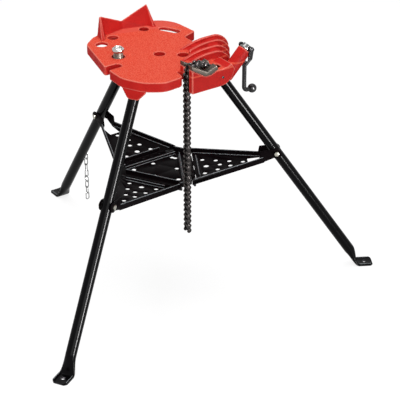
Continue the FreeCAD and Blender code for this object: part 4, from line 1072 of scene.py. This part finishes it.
@dataclass
class TrayFoldHighlights:
    """Round hems on the folded edges of the tray, and the bends at the foot of the folds.

    The rods are pale: a painted highlight along the hems and bends. A leaf is drawn from its
    hinge: X outward in the plane of the sheet, Y across, Z off the sheet, with Z = 0 in the middle
    of the sheet.
    """

    hinge_radius: float = 0.090
    hinge_height: float = 0.35875
    tilt_deg: float = 5.15
    half: float = 0.101
    inner: float = 0.0824
    sheet: float = 0.0025
    flange: float = 0.016
    bead_top: float = 0.009
    leaf_bead: float = 0.01825
    leaf_bead_half: float = 0.0626
    middle_bead: float = -0.03025
    middle_bead_half: float = 0.0889
    flange_near: tuple[float, float] = (0.002, 0.1019)
    flange_far: tuple[float, float] = (0.215, 0.0193)
    bend_start: float = 0.010
    bend_near: float = 0.0055
    bend_far: float = 0.002
    bead_bend: float = 0.0018
    hem_inset: float = 0.001
    radius: float = 0.0013

    @property
    def foot(self) -> float:
        """Height of the bends at the foot of the folds, over the middle of the sheet."""
        return self.sheet / 2 + self.radius / 3

    def leaf(self, azimuth: Azimuth) -> None:
        """Painted highlight rods on the hems of one leaf: both folded edges, the inner fold, and the
        bends at their feet.

        Args:
            azimuth: Direction of the leaf's leg.
        """
        place = (Matrix.Rotation(math.radians(azimuth.value), 4, "Z")
                 @ Matrix.Translation((self.hinge_radius, 0, self.hinge_height))
                 @ Matrix.Rotation(-math.radians(self.tilt_deg), 4, "Y"))
        (ax, ay), (bx, by) = self.flange_near, self.flange_far
        lines = []
        for side in (-1, 1):
            lines.append(((ax, side * ay, self.flange), (bx, side * by, self.flange)))
            lines.append(((ax + self.bend_start, side * (ay - self.bend_near), self.foot),
                          (bx, side * (by - self.bend_far), self.foot)))
        x, bend, half = self.leaf_bead, self.leaf_bead + self.bead_bend, self.leaf_bead_half
        lines.append(((x, -half, self.bead_top), (x, half, self.bead_top)))
        lines.append(((bend, -half, self.foot), (bend, half, self.foot)))
        name = azimuth.name.lower()
        rods("tray_fold_highlights_" + name, [(place @ Vector(a), place @ Vector(b)) for a, b in lines],
             self.radius, "leaf_" + name)

    def middle(self) -> None:
        """Painted highlight rods on the hems of the middle: three folded sides and an inner fold
        before each hinge.
        """
        lines, corners = [], []
        foot, top = self.hinge_height + self.foot, self.hinge_height + self.bead_top
        x, half = self.hinge_radius + self.middle_bead, self.middle_bead_half
        bend = x - self.bead_bend
        edge, reach = self.inner - self.hem_inset, self.half - self.hem_inset
        for azimuth in (Azimuth.LEFT, Azimuth.RIGHT, Azimuth.REAR):
            turn = Matrix.Rotation(math.radians(azimuth.value), 4, "Z")
            corners += [turn @ Vector((edge, side * reach, 0)) for side in (-1, 1)]
            lines.append((turn @ Vector((x, -half, top)), turn @ Vector((x, half, top))))
            lines.append((turn @ Vector((bend, -half, foot)), turn @ Vector((bend, half, foot))))
        rise = Vector((0, 0, self.hinge_height - self.sheet / 2 + self.flange))
        for k in (1, 3, 5):
            lines.append((corners[k] + rise, corners[(k + 1) % 6] + rise))
        rods("tray_fold_highlights_middle", lines, self.radius, "tray_middle")

    def build(self) -> None:
        """Make the painted highlight rods on the hems of the three leaves and of the middle."""
        for azimuth in Azimuth:
            self.leaf(azimuth)
        self.middle()


# ---------------------------------------------------------------- carried-over parts

@dataclass
class PlainParts:
    """CAD nodes that keep their own shape and get softened edges and a finish."""

    bevel: float = 0.0005
    sheet_bevel: float = 0.0011
    bevel_steps: int = 2
    limit_deg: float = 38.0
    finishes: dict[str, Finish] = field(default_factory=lambda: {
        "tray_leaf": BLACK_SHEET, "tray_middle": BLACK_SHEET, "hinge_pins": BLACK_OXIDE,
        "leg_pivot": ZINC, "link_pin": ZINC, "link_bolt": ZINC, "front_jaw": JAW_STEEL,
        "rear_jaw": JAW_STEEL, "jaw_screws": BLACK_OXIDE, "saddle_chain": CHAIN_STEEL,
        "hanging_chain": CHAIN_STEEL, "chain_screw": BLACK_OXIDE, "thrust_washer": BLACK_OXIDE,
        "swivel_nut": GREY_PLATE, "crank_pins": BLACK_OXIDE, "brace_nut": ZINC,
        "tie_chain": GREY_PLATE})

    def build(self) -> None:
        """Dress every CAD node that is still shown."""
        for name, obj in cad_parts.items():
            if obj.hide_render:
                continue
            finish = next(f for start, f in self.finishes.items() if name.startswith(start))
            obj.data.materials.clear()
            obj.data.materials.append(BOOK.get(finish))
            obj.data.polygons.foreach_set("use_smooth", [True] * len(obj.data.polygons))
            weld = obj.modifiers.new("weld", "WELD")
            weld.merge_threshold = WELD_DISTANCE
            soften = obj.modifiers.new("soften", "BEVEL")
            soften.width = self.sheet_bevel if finish is BLACK_SHEET else self.bevel
            soften.segments = self.bevel_steps
            soften.limit_method = "ANGLE"
            soften.angle_limit = math.radians(self.limit_deg)
            soften.harden_normals = True
            LOG.info("%-28s %7d faces, kept from the frame", name, len(obj.data.polygons))


# ---------------------------------------------------------------- stage

@dataclass(frozen=True)
class Lamp:
    """Soft rectangular lamp aimed at the middle of the stand.

    One that is gloss_only shows only in gloss, as a streak, and lights nothing else.
    """

    name: str
    place: tuple[float, float, float]
    sides: tuple[float, float]
    watts: float
    gloss_only: bool = False
    target: tuple[float, float, float] = (0.05, 0.1, 0.5)

    def build(self) -> None:
        """Hang the lamp and aim it."""
        data = bpy.data.lights.new(self.name, "AREA")
        data.shape = "RECTANGLE"
        data.size, data.size_y = self.sides
        data.energy = self.watts
        obj = linked(self.name, data)
        obj.location = self.place
        aim = Vector(self.target) - Vector(self.place)
        obj.rotation_euler = aim.to_track_quat("-Z", "Y").to_euler()
        obj.visible_diffuse = not self.gloss_only


@dataclass
class Studio:
    """White floor, white surroundings, soft lamps and the camera."""

    lamps: tuple[Lamp, ...] = (
        Lamp("key", (-1.5, -2.9, 1.9), (2.0, 2.0), 50.0),
        Lamp("top", (0.3, 0.4, 3.4), (2.6, 2.6), 54.0),
        Lamp("strip", (0.47, -2.95, 0.9), (0.42, 1.9), 420.0, gloss_only=True))
    camera_place: tuple[float, float, float] = (-2.1991, -3.3149, 2.4266)
    camera_turn_deg: tuple[float, float, float] = (61.35, 0.0, -35.21)
    lens_mm: float = 135.0
    sensor_mm: float = 36.0
    floor_half: float = 30.0
    floor_drop: float = 0.0002
    world_strength: float = 0.36
    white_share: float = 0.80
    shadow_share: float = 0.32
    bounce_share: float = 0.86

    def build(self) -> None:
        """Set up the world, floor, lamps and camera."""
        self.world()
        self.floor()
        for lamp in self.lamps:
            lamp.build()
        self.camera()
        bpy.context.scene.view_settings.view_transform = "Standard"

    def world(self) -> None:
        """Surroundings that look white to the camera and to metal, and light the stand softly."""
        world = bpy.data.worlds.new("white_room")
        bpy.context.scene.world = world
        world.use_nodes = True
        tree = world.node_tree
        tree.nodes.clear()
        light, white = (
            add_node(tree, "ShaderNodeBackground", {"Color": WHITE, "Strength": strength}).outputs[0]
            for strength in (self.world_strength, 1.0))
        both = add_node(tree, "ShaderNodeMixShader", {0: seen_share(tree), 1: light, 2: white})
        add_node(tree, "ShaderNodeOutputWorld", {"Surface": both.outputs[0]})

    def floor(self) -> None:
        """Pale floor that looks white to the camera and keeps a share of its shadows."""
        half, low = self.floor_half, -self.floor_drop
        points = np.array([[-half, -half, low], [half, -half, low], [half, half, low],
                           [-half, half, low]])
        obj = new_object("floor", points, [[0, 1, 2, 3]], smooth=False)
        material = bpy.data.materials.new("white_floor")
        material.use_nodes = True
        tree = material.node_tree
        tree.nodes.clear()
        dull, faint = (
            add_node(tree, "ShaderNodeBsdfDiffuse", {"Color": (share, share, share, 1.0)}).outputs[0]
            for share in (self.bounce_share, self.shadow_share))
        glow = add_node(tree, "ShaderNodeEmission", {"Color": WHITE, "Strength": self.white_share})
        pale = add_node(tree, "ShaderNodeAddShader", {0: faint, 1: glow.outputs[0]}).outputs[0]
        both = add_node(tree, "ShaderNodeMixShader", {0: seen_share(tree), 1: dull, 2: pale})
        add_node(tree, "ShaderNodeOutputMaterial", {"Surface": both.outputs[0]})
        obj.data.materials.append(material)

    def camera(self) -> None:
        """Camera at the viewing angle of the stand."""
        data = bpy.data.cameras.new("camera")
        data.lens = self.lens_mm
        data.sensor_width = self.sensor_mm
        obj = linked("camera", data)
        obj.location = self.camera_place
        obj.rotation_euler = Euler([math.radians(a) for a in self.camera_turn_deg])
        bpy.context.scene.camera = obj


def main() -> None:
    """Build the stand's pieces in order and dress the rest."""
    Casting().build()
    for azimuth in Azimuth:
        Leg(azimuth).build()
    Crank().build()
    CeilingBrace().build()
    ChainRivets().build()
    TrayFoldHighlights().build()
    FootRidgeHighlights().build()
    PlainParts().build()
    Studio().build()


if __name__ == "__main__":
    main()
